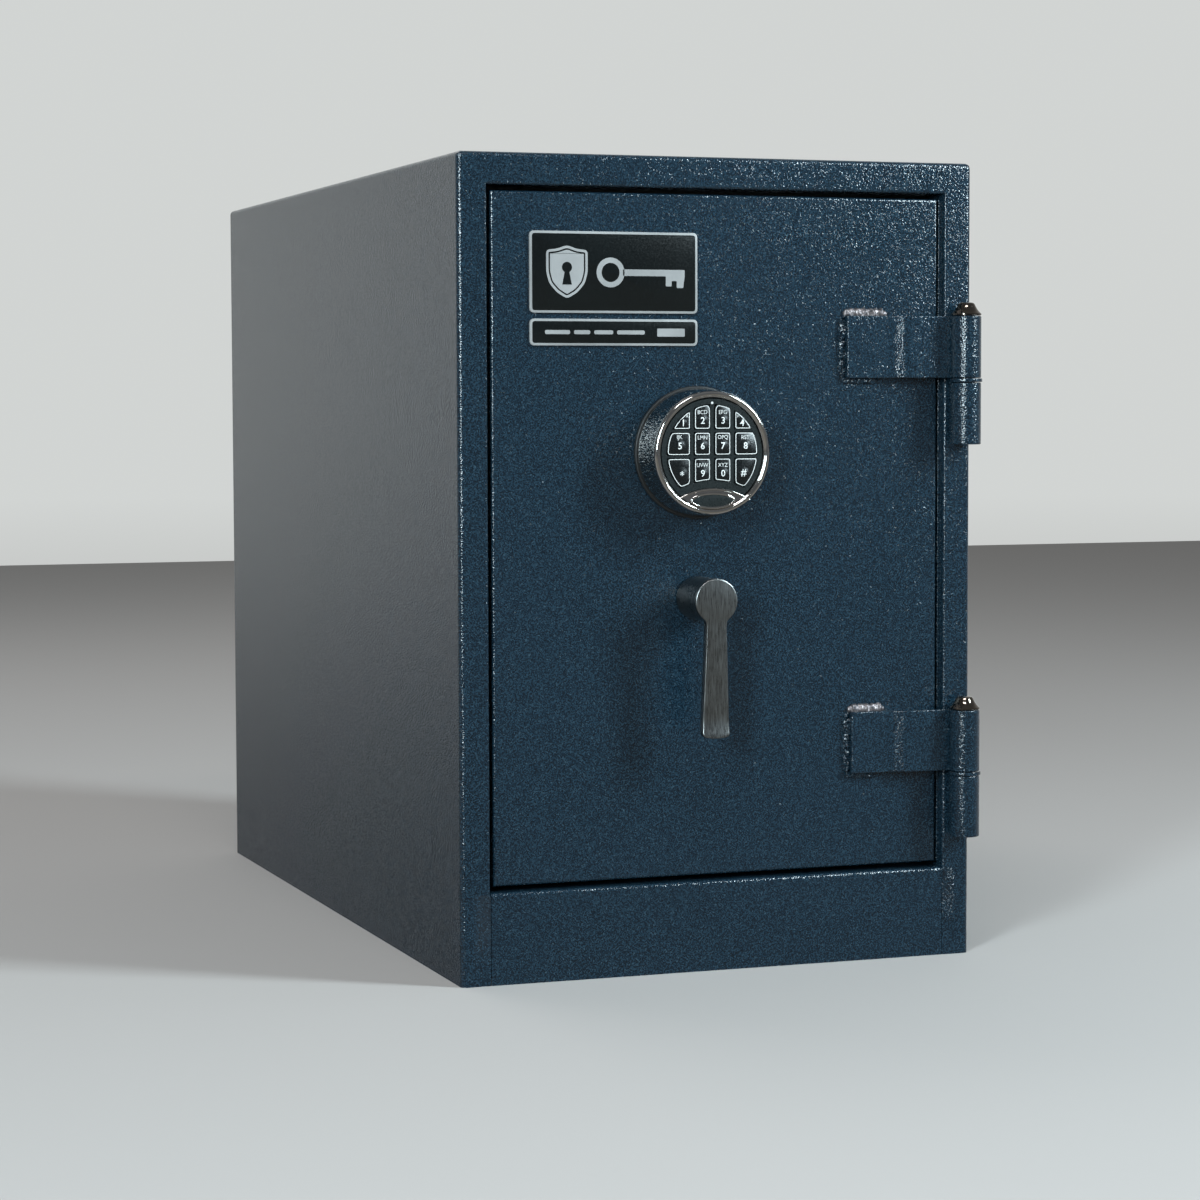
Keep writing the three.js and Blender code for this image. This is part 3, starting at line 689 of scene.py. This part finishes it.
def hinge_knuckle(end):
    """The frame's barrel round the pin, on a neck that runs back to the jamb."""
    node = "hinge_knuckle_" + end
    low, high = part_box(node)
    half = 5 * MM
    side = math.degrees(math.acos(half / BARREL))
    roll = arc(HINGE_AT, BARREL, 180 - side, 360 + side, ROLL_STEPS)
    outline = [Vector((HINGE_AT.x - half, high.y))] + roll + [Vector((HINGE_AT.x + half, high.y))]
    column(node + "_barrel", outline, low.z, high.z, HINGE_EDGE, "safe_body", [node])


def hinge_pin(end):
    """The pin with its cap: a rim, then a waisted cone with a round top."""
    node = "hinge_pin_" + end
    low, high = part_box(node)
    centre = ((low.x + high.x) / 2, (low.y + high.y) / 2)
    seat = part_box("hinge_strap_" + end)[1].z + 0.3 * MM
    wide = (high.x - low.x) / 2
    pin = 6 * MM
    top = high.z
    tall = top - seat
    rim = [(wide - 0.5 * MM, seat), (wide, seat + 0.4 * MM), (wide, seat + 1.2 * MM),
           (wide - 0.7 * MM, seat + 1.9 * MM)]
    cap = [(0.83, 0.33), (0.72, 0.50), (0.63, 0.68), (0.575, 0.82), (0.50, 0.93), (0.36, 0.985)]
    profile = [(0, low.z), (pin, low.z), (pin, seat)] + rim
    profile += [(wide * across, seat + tall * up) for across, up in cap]
    profile.append((0, top))
    turned(node + "_turned", profile, centre, "Z", BLACK_CHROME, "safe_body", 64, slot="dark_chrome",
           replaces=[node])


def roughen(bm, size, amount):
    """Pushes each point of a mesh along its normal by smooth noise of that size."""
    bm.normal_update()
    for v in bm.verts:
        v.co += v.normal * (noise.noise(v.co / size) * amount)


def weld_bead(name, start, end, y, radius, material, lumps):
    """A hand-laid weld between two points (x, z): a low bead with uneven ripples and lumps."""
    start, end = Vector(start), Vector(end)
    length = (end - start).length
    count = max(12, int(length / (0.4 * MM)))
    path, sizes = [], []
    phase = 0.0
    for i in range(count + 1):
        t = i / count
        phase += rng.uniform(0.5, 1.4) * 0.62
        swell = min(1.0, 5 * t + 0.4, 5 * (1 - t) + 0.4)
        stray = Vector((rng.uniform(-1, 1), rng.uniform(-1, 1))) * 0.10 * MM
        path.append(start.lerp(end, t) + stray)
        sizes.append(radius * swell * (0.88 + 0.09 * math.sin(phase)))
    bm = swept(path, sizes, y, flat=0.75, sides=18)
    roughen(bm, 1.9 * MM, lumps)
    roughen(bm, 0.8 * MM, lumps * 0.45)
    finish_mesh(name, bm, material, "door", smooth=60, slot=PAINT_SLOT)


def hinge_welds(end):
    """A bare bead along the strap's top, and painted ones down its end and under it."""
    low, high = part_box("hinge_strap_" + end)
    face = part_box("door_plate")[0].y
    left, top, bottom = low.x, high.z, low.z
    run = 27 * MM if end == "upper" else 22 * MM
    above, beside, under = top + 1.5 * MM, left - 1.6 * MM, bottom - 1 * MM
    weld_bead(f"weld_top_{end}", (left - 1 * MM, above), (left + run + 3 * MM, above),
              face - 0.6 * MM, 3.9 * MM, WELD, 0.9 * MM)
    weld_bead(f"weld_side_{end}", (beside, top + 0.5 * MM), (beside, bottom + 1 * MM),
              face, 3.3 * MM, PAINT, 1.9 * MM)
    weld_bead(f"weld_under_{end}", (left - 2.6 * MM, under), (left + run - 3 * MM, under),
              face, 3.0 * MM, PAINT, 1.2 * MM)


for end in ("upper", "lower"):
    hinge_strap(end)
    hinge_knuckle(end)
    hinge_pin(end)
    hinge_welds(end)


# ---------------------------------------------------------------- handle

HANDLE_LOW, HANDLE_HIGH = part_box("handle_lever")
HUB_R = (HANDLE_HIGH.x - HANDLE_LOW.x) / 2
HANDLE_X = (HANDLE_LOW.x + HANDLE_HIGH.x) / 2
HUB_Z = HANDLE_HIGH.z - HUB_R
HANDLE_TIP = HANDLE_LOW.z
PLATE_THICK = 6 * MM
BLADE_SAG = 1.5 * MM
BLADE_STEPS, HEAD_STEPS, TIP_STEPS = 24, 64, 16


def lever_outline():
    """The front plate's edge, anticlockwise from the tip: a round head on a blade that flares out."""
    neck, wide, corner = 6.9 * MM, 9.45 * MM, 2.4 * MM
    foot, top = HANDLE_TIP + corner, HUB_Z - 15.5 * MM
    side = []
    for i in range(BLADE_STEPS + 1):
        t = i / BLADE_STEPS
        side.append((wide + (neck - wide) * t ** 0.9, foot + (top - foot) * t))
    join = math.asin((neck + 0.9 * MM) / HUB_R)
    head = []
    for i in range(HEAD_STEPS + 1):
        turn = -math.pi / 2 + join + (2 * math.pi - 2 * join) * i / HEAD_STEPS
        head.append((HUB_R * math.cos(turn), HUB_Z + HUB_R * math.sin(turn)))
    blend = [(neck + 0.25 * MM, HUB_Z - 14.0 * MM), (neck + 0.5 * MM, HUB_Z - 13.2 * MM)]
    right = side + blend
    reach = wide * 0.97
    tip = []
    for i in range(1, TIP_STEPS):
        x = -reach + 2 * reach * i / TIP_STEPS
        tip.append((x, HANDLE_TIP + 1.3 * MM * (abs(x) / wide) ** 2))
    points = tip + right + head + [(-x, z) for x, z in right[::-1]]
    return rounded_outline([Vector((HANDLE_X + x, z)) for x, z in points], 320, 3)


def lever_sag(z):
    """How far the blade lies behind the head's face: it falls back slowly, and its end kicks forward."""
    kick = HANDLE_TIP + 12 * MM
    start = HUB_Z - 15 * MM
    if z > start:
        return 0.0
    if z > kick:
        t = (start - z) / (start - kick)
        return BLADE_SAG * t * t * (1.6 - 0.6 * t)
    t = (kick - z) / (kick - HANDLE_TIP)
    return BLADE_SAG * (1 - t * t * (1.5 - 0.5 * t))


def handle():
    """The lever's front plate, cut into short lengths so that its blade can sag, and the hub behind it."""
    front, rear = HANDLE_LOW.y, HANDLE_HIGH.y
    outline = lever_outline()
    edge = 1.0 * MM
    layers = [(inset(outline, edge), front + PLATE_THICK)]
    for i in range(5):
        turn = math.pi / 2 * i / 4
        layers.append((inset(outline, edge * (1 - math.cos(turn - math.pi / 2))),
                       front + PLATE_THICK - edge * (1 - math.cos(turn))))
    for i in range(6):
        turn = math.pi / 2 * i / 5
        layers.append((inset(outline, edge * (1 - math.cos(turn))), front + edge * (1 - math.sin(turn))))
    bm = skin(layers)
    cuts = 40
    top = HUB_Z - 14 * MM
    for i in range(1, cuts):
        level = HANDLE_TIP + (top - HANDLE_TIP) * i / cuts
        whole = bm.verts[:] + bm.edges[:] + bm.faces[:]
        bmesh.ops.bisect_plane(bm, geom=whole, plane_co=(0, 0, level), plane_no=(0, 0, 1))
    for v in bm.verts:
        v.co.y += lever_sag(v.co.z)
    finish_mesh("handle_plate", bm, NICKEL, "handle", slot="nickel", replaces=["handle_lever"])
    barrel = HUB_R - 0.35 * MM
    start = front + PLATE_THICK - 1 * MM
    edge = 0.8 * MM
    bore, bore_end = 6.4 * MM, rear - 4 * MM
    profile = [(0, start), (barrel, start), (barrel, rear - edge), (barrel - edge, rear), (bore, rear),
               (bore, bore_end), (0, bore_end)]
    turned("handle_hub", profile, (HANDLE_X, HUB_Z), "Y", NICKEL, "handle", 96, slot="nickel")


handle()


# ---------------------------------------------------------------- nameplates

PLATE_SLOT = "plate_metal"
PRINT_BACK = 0.1 * MM
PRINT_FRONT = 0.14 * MM


def plate_blank(node):
    """A plate with a bare rounded border and a black field."""
    low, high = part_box(node)
    outline = rounded_box_outline(low.x, high.x, low.z, high.z, 2.6 * MM)
    layers = [
        (outline, high.y), (outline, low.y + 0.35 * MM),
        (inset(outline, 0.12 * MM), low.y + 0.1 * MM), (inset(outline, 0.4 * MM), low.y),
    ]
    stacked(node + "_blank", layers, SILVER_PRINT, "door", slot=PLATE_SLOT, replaces=[node])
    edge = 1.6 * MM
    field = rounded_box_outline(low.x + edge, high.x - edge, low.z + edge, high.z - edge, 1.5 * MM)
    layers = [(field, low.y + 0.2 * MM), (field, low.y - 0.05 * MM),
              (inset(field, 0.1 * MM), low.y - 0.08 * MM)]
    stacked(node + "_field", layers, BLACK_PRINT, "door", slot=PLATE_SLOT)
    return low, high


def printed(name, outline, y):
    layers = [(outline, y + 0.15 * MM), (outline, y - PRINT_FRONT)]
    stacked(name, layers, SILVER_PRINT, "door", slot=PLATE_SLOT)


def printed_line(name, outline, width, y):
    band(name, outline, width, y + PRINT_BACK, y - PRINT_FRONT, SILVER_PRINT, "door", slot=PLATE_SLOT)


def round_points(x, z, wide, tall, steps):
    """Points on an oval, anticlockwise."""
    turns = [2 * math.pi * i / steps for i in range(steps)]
    return [(x + wide * math.cos(turn), z + tall * math.sin(turn)) for turn in turns]


def upper_nameplate():
    low, high = plate_blank("nameplate_upper")
    y = low.y
    middle = (low.z + high.z) / 2
    shield(low.x + 25 * MM, middle, y)
    key_sign(low.x + 45 * MM, high.x - 9 * MM, middle, y)


def shield(x, z, y):
    """A plain outlined shield with a keyhole."""
    half, tall = 14 * MM, 17 * MM
    corners = ((-1, 0.82), (-1, 0.0), (-0.86, -0.42), (-0.5, -0.76), (0, -1), (0.5, -0.76), (0.86, -0.42),
               (1, 0.0), (1, 0.82), (0.5, 0.86), (0, 1), (-0.5, 0.86))
    outline = fillet([(x + u * half, z + v * tall) for u, v in corners], 2.5 * MM, 4, closed=True)
    printed_line("sign_shield_edge", outline, 1.6 * MM, y)
    printed("sign_shield", inset(outline, 2.6 * MM), y)
    eye, drop = 3.4 * MM, 3 * MM
    foot, foot_z = 3.2 * MM, z - 8 * MM
    turns = [math.radians(-62 + 304 * i / 28) for i in range(29)]
    hole = [(x + eye * math.cos(turn), z + drop + eye * math.sin(turn)) for turn in turns]
    hole += [(x - foot, foot_z), (x + foot, foot_z)]
    stacked("sign_keyhole", [(hole, y), (hole, y - 0.2 * MM)], BLACK_PRINT, "door", slot=PLATE_SLOT)


def key_sign(x0, x1, z, y):
    """A plain key that lies between x0 and x1."""
    ring = 9.5 * MM
    centre = x0 + ring
    printed_line("sign_key_bow", round_points(centre, z, ring, ring, 64), 3.4 * MM, y)
    start = centre + ring - 1 * MM
    bar = 2.1 * MM
    bit = ((13, 8.5), (9, 8.5), (9, 5), (5.5, 5), (5.5, 9.5), (1, 9.5))
    shank = [(start, z - bar), (x1 - 13 * MM, z - bar)]
    shank += [(x1 - back * MM, z - down * MM) for back, down in bit]
    shank += [(x1, z - bar), (x1, z + bar), (start, z + bar)]
    printed("sign_key_shank", fillet(shank, 0.6 * MM, 3, closed=True), y)


def lower_nameplate():
    """Four plain lines and a blank tag."""
    low, high = plate_blank("nameplate_lower")
    y = low.y
    z = (low.z + high.z) / 2
    x = low.x + 10 * MM
    half_line, half_tag = 1.3 * MM, 2.6 * MM
    for i, length in enumerate((17, 11, 13, 19)):
        line = rounded_box_outline(x, x + length * MM, z - half_line, z + half_line, 0.9 * MM)
        printed(f"sign_line_{i + 1}", line, y)
        x += (length + 2.6) * MM
    tag = rounded_box_outline(high.x - 28 * MM, high.x - 9 * MM, z - half_tag, z + half_tag, 0.5 * MM)
    printed("sign_tag", tag, y)


upper_nameplate()
lower_nameplate()


# ---------------------------------------------------------------- keypad

PAD_LOW, PAD_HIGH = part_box("keypad_housing")
PAD_X = (PAD_LOW.x + PAD_HIGH.x) / 2
PAD_Z = (PAD_LOW.z + PAD_HIGH.z) / 2
PAD_FRONT = PAD_LOW.y
PAD_REAR = PAD_HIGH.y
FACE_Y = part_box("keypad_face")[0].y
KEY_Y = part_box("key_5")[0].y
CHROME_SLOT = "chrome"
KEY_SLOT = "key_rubber"
FACE_R = 35 * MM
RIM_R = 40 * MM
ARC_R = 48.3 * MM
ARC_TOP = -22.7 * MM
ARC_CLEAR = 5.3 * MM
KEY_RING = 31.0 * MM
CORNER_STEPS, CORNER_PASSES = 150, 22
ROWS = ((15.3, 36), (-1.3, 13.1), (-26, -3.5))
COLUMNS = ((-36, -15.5), (-12.3, -1.7), (1.7, 12.3), (15.5, 36))
KEYS = (("1", "2", "3", "4"), ("5", "6", "7", "8"), ("star", "9", "0", "hash"))
LETTERS = {"1": "A", "2": "BCD", "3": "EFG", "4": "H", "5": "IJK", "6": "LMN", "7": "OPQ", "8": "RST",
           "9": "UVW", "0": "XYZ"}
SMALL_KEYS = ("1", "4")
SMALL_SHIFT = {"1": 2.6 * MM, "4": -2.6 * MM}
MARKS = {"star": "*", "hash": "#"}
DOME_R = 4.4 * MM
SMALL_DOME_R = 3.0 * MM
DOME_H = 0.7 * MM
DIGIT_Z = (20.8, 4.6, -13.0)
DIGIT_X = (-22.6, -7.0, 7.0, 22.6)
CORNER_MARKS = {"1": (-20.2, 19.3), "4": (20.2, 19.3), "star": (-21.2, -13.0), "hash": (21.2, -13.0)}
LETTER_LIFT, SMALL_LETTER_LIFT = 5.3 * MM, 4.2 * MM


def arc_height(x, lift=0.0):
    """The upper edge of the chromed sector, or a line that far above it, over the keypad's middle."""
    radius = ARC_R + lift
    return ARC_TOP - ARC_R + math.sqrt(max(0.0, radius * radius - x * x))


def keypad_housing():
    """The chromed ring: a bead round the face, then a wall that widens a little towards the door."""
    foot = (PAD_HIGH.x - PAD_LOW.x) / 2
    back = FACE_Y + 4 * MM
    bead = ((0.1, 2.2), (0.9, 1.1), (1.3, 0.9), (1.7, 0.35), (2.5, 0), (3.4, 0.15), (4.3, 0.9))
    wall = ((-0.05, 2.2), (0, 3.4), (0.1, 5))
    profile = [(FACE_R + 0.1 * MM, back)]
    profile += [(FACE_R + out * MM, PAD_FRONT + deep * MM) for out, deep in bead]
    profile += [(RIM_R + out * MM, PAD_FRONT + deep * MM) for out, deep in wall]
    profile += [(foot - 0.2 * MM, PAD_REAR - 3.5 * MM), (foot, PAD_REAR - 2.2 * MM), (foot, PAD_REAR),
                (foot - 3 * MM, PAD_REAR), (RIM_R - 3 * MM, back + 2 * MM)]
    turned("keypad_ring", fillet(profile, 1.2 * MM, 4, closed=True), (PAD_X, PAD_Z), "Y", CHROME, "door", 160,
           slot=CHROME_SLOT, replaces=["keypad_housing"])


def bridge():
    """The chromed sector under the keys, with a bead along its upper edge and a rimmed oval."""
    span, bead_span = 25.6 * MM, 25 * MM
    across, up, bead_steps = 72, 16, 60
    sector_y = PAD_FRONT + 1.1 * MM
    bm = bmesh.new()
    grid = []
    for i in range(across + 1):
        x = -span + 2 * span * i / across
        bottom = -math.sqrt(FACE_R * FACE_R - x * x) - 0.4 * MM
        top = max(arc_height(x), bottom + 0.05 * MM)
        column = []
        for j in range(up + 1):
            z = bottom + (top - bottom) * j / up
            column.append(bm.verts.new((PAD_X + x, sector_y, PAD_Z + z)))
        column.append(bm.verts.new((PAD_X + x, FACE_Y + 3 * MM, PAD_Z + top)))
        grid.append(column)
    for a, b in zip(grid, grid[1:]):
        for j in range(len(a) - 1):
            bm.faces.new((a[j], a[j + 1], b[j + 1], b[j]))
    finish_mesh("keypad_bridge", bm, CHROME, "door", slot=CHROME_SLOT)
    xs = [-bead_span + 2 * bead_span * i / bead_steps for i in range(bead_steps + 1)]
    bead = [(PAD_X + x, PAD_Z + arc_height(x) - 0.6 * MM) for x in xs]
    sweep("keypad_bridge_bead", bead, 0.75 * MM, sector_y, CHROME, "door", slot=CHROME_SLOT)
    oval = round_points(PAD_X, PAD_Z - 30.6 * MM, 14.4 * MM, 4.6 * MM, 72)
    sweep("keypad_badge_rim", oval, 0.8 * MM, PAD_FRONT + 1.0 * MM, CHROME, "door", closed=True,
          slot=CHROME_SLOT)
    inner = inset(oval, 0.2 * MM)
    layers = [(inner, PAD_FRONT + 1.4 * MM), (inner, PAD_FRONT + 0.85 * MM),
              (inset(inner, 1.2 * MM), PAD_FRONT + 0.7 * MM)]
    stacked("keypad_badge_blank", layers, GLOSS_BLACK, "door", slot="black_plastic",
            replaces=["keypad_badge"])


def key_outline(row, column):
    """A key's edge: its cell, cut by the ring of the keys and by the arc below them."""
    low, high = (v * MM for v in ROWS[row])
    left, right = (v * MM for v in COLUMNS[column])
    steps = 90
    bottom, top = [], []
    for i in range(steps + 1):
        x = left + (right - left) * i / steps
        if abs(x) >= KEY_RING:
            continue
        reach = math.sqrt(KEY_RING ** 2 - x * x)
        roof = min(high, reach)
        if row == 0 and column in (1, 2):
            roof = min(roof, 28.4 * MM + (abs(x) - 1.7 * MM) * 1.75)
        floor = max(low, -reach, arc_height(x, ARC_CLEAR))
        if roof > floor:
            bottom.append(Vector((PAD_X + x, PAD_Z + floor)))
            top.append(Vector((PAD_X + x, PAD_Z + roof)))
    return rounded_outline(bottom + top[::-1], CORNER_STEPS, CORNER_PASSES)


def dome_height(x, z, centre, radius):
    """How far the dome under a key's digit stands out of the key at (x, z)."""
    away = (Vector((x, z)) - centre).length
    if away >= radius:
        return 0.0
    return DOME_H * radius / DOME_R * math.cos(math.pi / 2 * away / radius) ** 1.3


def mark(name, text, size, centre, dome, body, narrow=1.0, weight=0.0):
    """Printed text, laid on the key's face and over its dome."""
    curve = bpy.data.curves.new(name, "FONT")
    curve.body = text
    curve.size = size
    curve.align_x = "CENTER"
    curve.align_y = "CENTER"
    curve.resolution_u = 3
    curve.offset = weight
    made = bpy.data.objects.new(name, curve)
    bpy.context.scene.collection.objects.link(made)
    mesh = bpy.data.meshes.new_from_object(made.evaluated_get(bpy.context.evaluated_depsgraph_get()))
    bpy.data.objects.remove(made)
    bpy.data.curves.remove(curve)
    bm = bmesh.new()
    bm.from_mesh(mesh)
    bpy.data.meshes.remove(mesh)
    bmesh.ops.triangulate(bm, faces=bm.faces[:])
    bmesh.ops.subdivide_edges(bm, edges=[e for e in bm.edges if e.calc_length() > 0.5 * MM], cuts=2)
    bmesh.ops.triangulate(bm, faces=bm.faces[:])
    xs = [v.co.x for v in bm.verts]
    ys = [v.co.y for v in bm.verts]
    middle = Vector(((min(xs) + max(xs)) / 2, (min(ys) + max(ys)) / 2))
    for v in bm.verts:
        x = centre.x + (v.co.x - middle.x) * narrow
        z = centre.y + v.co.y - middle.y
        v.co = (x, KEY_Y - dome_height(x, z, *dome) - 0.06 * MM, z)
    shell = bmesh.ops.extrude_face_region(bm, geom=bm.faces[:])
    for v in shell["geom"]:
        if isinstance(v, bmesh.types.BMVert):
            v.co.y += 0.12 * MM
    finish_mesh(name, bm, KEY_PRINT, body, slot=KEY_SLOT)


def key(row, column):
    """One key: its cap, a printed outline, a low dome, and the printed digit and letters."""
    name = KEYS[row][column]
    node = "key_" + name
    body = "button_" + name
    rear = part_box(node)[1].y
    outline = key_outline(row, column)
    layers = [(outline, rear), (outline, KEY_Y + 0.3 * MM), (inset(outline, 0.08 * MM), KEY_Y + 0.1 * MM),
              (inset(outline, 0.25 * MM), KEY_Y)]
    stacked(node + "_cap", layers, KEY_BLACK, body, slot=KEY_SLOT, replaces=[node])
    line = inset(outline, 0.30 * MM)
    half = 0.05 * MM
    band(node + "_line", line, 0.42 * MM, KEY_Y + half, KEY_Y - half, KEY_PRINT, body, slot=KEY_SLOT)
    at = CORNER_MARKS.get(name, (DIGIT_X[column], DIGIT_Z[row]))
    centre = Vector((PAD_X + at[0] * MM, PAD_Z + at[1] * MM))
    small = name in SMALL_KEYS
    dome = (centre, SMALL_DOME_R if small else DOME_R)
    swelling(node + "_dome", *dome, body)
    size = 6.4 * MM if name in MARKS else 6.0 * MM
    mark(node + "_mark", MARKS.get(name, name), size, centre, dome, body, weight=0.06 * MM)
    if name in LETTERS:
        above = centre + Vector((SMALL_SHIFT.get(name, 0.0), SMALL_LETTER_LIFT if small else LETTER_LIFT))
        size = 2.6 * MM if small else 3.7 * MM
        mark(node + "_letters", LETTERS[name], size, above, dome, body, narrow=0.92, weight=-0.02 * MM)


def swelling(name, centre, radius, body):
    """The low dome under a key's digit."""
    rings = 10
    profile = []
    for i in range(rings + 1):
        out = radius * i / rings
        profile.append((out, KEY_Y + 0.02 * MM - dome_height(centre.x + out, centre.y, centre, radius)))
    profile.append((radius, KEY_Y + 0.3 * MM))
    profile.append((0, KEY_Y + 0.3 * MM))
    turned(name, profile, (centre.x, centre.y), "Y", KEY_BLACK, body, 40, slot=KEY_SLOT)


keypad_housing()
bridge()
for row in range(3):
    for column in range(4):
        key(row, column)


# ---------------------------------------------------------------- stage, light, camera

CAMERA_AT = Vector((-0.7463, -2.1627, 0.3712))
CAMERA_LOOK = Vector((0.33683, 0.93939, -0.06401))
CAMERA_ROLL = math.radians(-0.19)
CAMERA_LENS = 91.76
CAMERA_SENSOR = 36
CAMERA_FAR = 100
FLOOR_HALF = 5.0
FLOOR_COLOUR = (0.315, 0.290, 0.278, 1)
COOL_WHITE = (0.76, 0.93, 1.0)
LIGHT_HEIGHT = 0.25
DOOR_AIM = (0.0, -0.3, 0.3)


def camera():
    data = bpy.data.cameras.new("camera")
    data.sensor_width = CAMERA_SENSOR
    data.sensor_fit = "HORIZONTAL"
    data.lens = CAMERA_LENS
    data.clip_end = CAMERA_FAR
    made = bpy.data.objects.new("camera", data)
    bpy.context.scene.collection.objects.link(made)
    look = CAMERA_LOOK.normalized()
    right = look.cross(Vector((0, 0, 1))).normalized()
    up = right.cross(look)
    tilted_right = right * math.cos(CAMERA_ROLL) + up * math.sin(CAMERA_ROLL)
    tilted_up = up * math.cos(CAMERA_ROLL) - right * math.sin(CAMERA_ROLL)
    turn = Matrix((tilted_right, tilted_up, -look)).transposed()
    made.matrix_world = Matrix.Translation(CAMERA_AT) @ turn.to_4x4()
    bpy.context.scene.camera = made


def floor():
    """A plain floor. The gloss paint mirrors the world below it instead."""
    bm = bmesh.new()
    half = FLOOR_HALF
    corners = [(-half, -half), (half, -half), (half, half), (-half, half)]
    bm.faces.new([bm.verts.new((x, y, 0.0)) for x, y in corners])
    mesh = bpy.data.meshes.new("floor")
    bm.to_mesh(mesh)
    bm.free()
    made = bpy.data.objects.new("floor", mesh)
    bpy.context.scene.collection.objects.link(made)
    made.data.materials.append(floor_material())
    made.visible_glossy = False


def floor_material():
    material = bpy.data.materials.new("studio_floor")
    material.use_nodes = True
    shader = material.node_tree.nodes["Principled BSDF"]
    shader.inputs["Base Color"].default_value = FLOOR_COLOUR
    shader.inputs["Roughness"].default_value = 0.9
    return material


def softbox(name, at, aim, width, height, power, colour=(1, 1, 1)):
    """A soft rectangular light, in metres and watts."""
    data = bpy.data.lights.new(name, "AREA")
    data.shape = "RECTANGLE"
    data.size = width
    data.size_y = height
    data.energy = power
    data.color = colour
    made = bpy.data.objects.new(name, data)
    bpy.context.scene.collection.objects.link(made)
    made.location = at
    made.rotation_euler = (Vector(aim) - Vector(at)).to_track_quat("-Z", "Y").to_euler()


def world():
    """A studio that is pale behind the safe, and dim behind the camera and below the floor's level.

    Its back left is dimmer still, where the cabinet's left side mirrors it.
    """
    made = bpy.data.worlds.new("studio")
    bpy.context.scene.world = made
    made.use_nodes = True
    tree = made.node_tree
    coords = tree.nodes.new("ShaderNodeTexCoord")
    split = tree.nodes.new("ShaderNodeSeparateXYZ")
    tree.links.new(coords.outputs["Generated"], split.inputs["Vector"])
    black, white = (0.0, 0.0, 0.0), (1.0, 1.0, 1.0)

    def across(axis, low, high, stops):
        """Colours that change with the direction's share of one axis, between low and high."""
        shift = tree.nodes.new("ShaderNodeMapRange")
        shift.inputs["From Min"].default_value = low
        shift.inputs["From Max"].default_value = high
        tree.links.new(split.outputs[axis], shift.inputs["Value"])
        ramp = tree.nodes.new("ShaderNodeValToRGB")
        fill_band(ramp.color_ramp, stops)
        tree.links.new(shift.outputs["Result"], ramp.inputs["Fac"])
        return ramp.outputs["Color"]

    def mixed(first, second, share=None):
        """Mixes two colours by a share, or multiplies them where no share is given."""
        blend = tree.nodes.new("ShaderNodeMix")
        blend.data_type = "RGBA"
        if share is None:
            blend.blend_type = "MULTIPLY"
            blend.inputs[0].default_value = 1.0
        else:
            tree.links.new(share, blend.inputs[0])
        tree.links.new(first, blend.inputs[6])
        tree.links.new(second, blend.inputs[7])
        return blend.outputs[2]

    depth = across("Y", -1, 1, [
        (0.10, (0.13, 0.14, 0.15)),
        (0.50, (0.22, 0.23, 0.235)),
        (0.82, (0.64, 0.66, 0.65)),
    ])
    side = across("X", -0.25, -0.10, [(0.0, (0.70, 0.70, 0.70)), (1.0, white)])
    low = across("Y", -1, 1, [(0.20, (0.22, 0.22, 0.20)), (0.50, (0.38, 0.38, 0.37))])
    left = across("X", -0.12, -0.02, [(0.0, (0.12, 0.12, 0.13)), (1.0, white)])
    front = across("Y", 0.3, 0.8, [(0.0, white), (1.0, black)])
    height = across("Z", -0.12, -0.03, [(0.0, black), (1.0, white)])
    above = mixed(depth, side)
    below = mixed(mixed(low, left), low, front)
    tree.links.new(mixed(below, above, height), tree.nodes["Background"].inputs["Color"])


def around(azimuth, elevation, distance):
    """A point about the safe. Azimuth 0 is straight in front of the door, and 90 is at its hinge side."""
    a, e = math.radians(azimuth), math.radians(elevation)
    out = distance * math.cos(e)
    return (out * math.sin(a), -out * math.cos(a), LIGHT_HEIGHT + distance * math.sin(e))


camera()
floor()
world()
softbox("front_left", around(-39, 17, 3.4), DOOR_AIM, 0.5, 1.55, 130, COOL_WHITE)
softbox("right", around(47, 26, 2.9), DOOR_AIM, 0.5, 1.2, 132, COOL_WHITE)
softbox("overhead", (-0.5, -1.7, 2.6), (0.0, -0.2, 0.3), 1.1, 0.3, 22)
softbox("rear", around(205, 50, 3.2), (0.0, 0.0, 0.3), 1.8, 1.8, 30)
bpy.context.scene.view_settings.view_transform = "Standard"
bpy.context.view_layer.update()
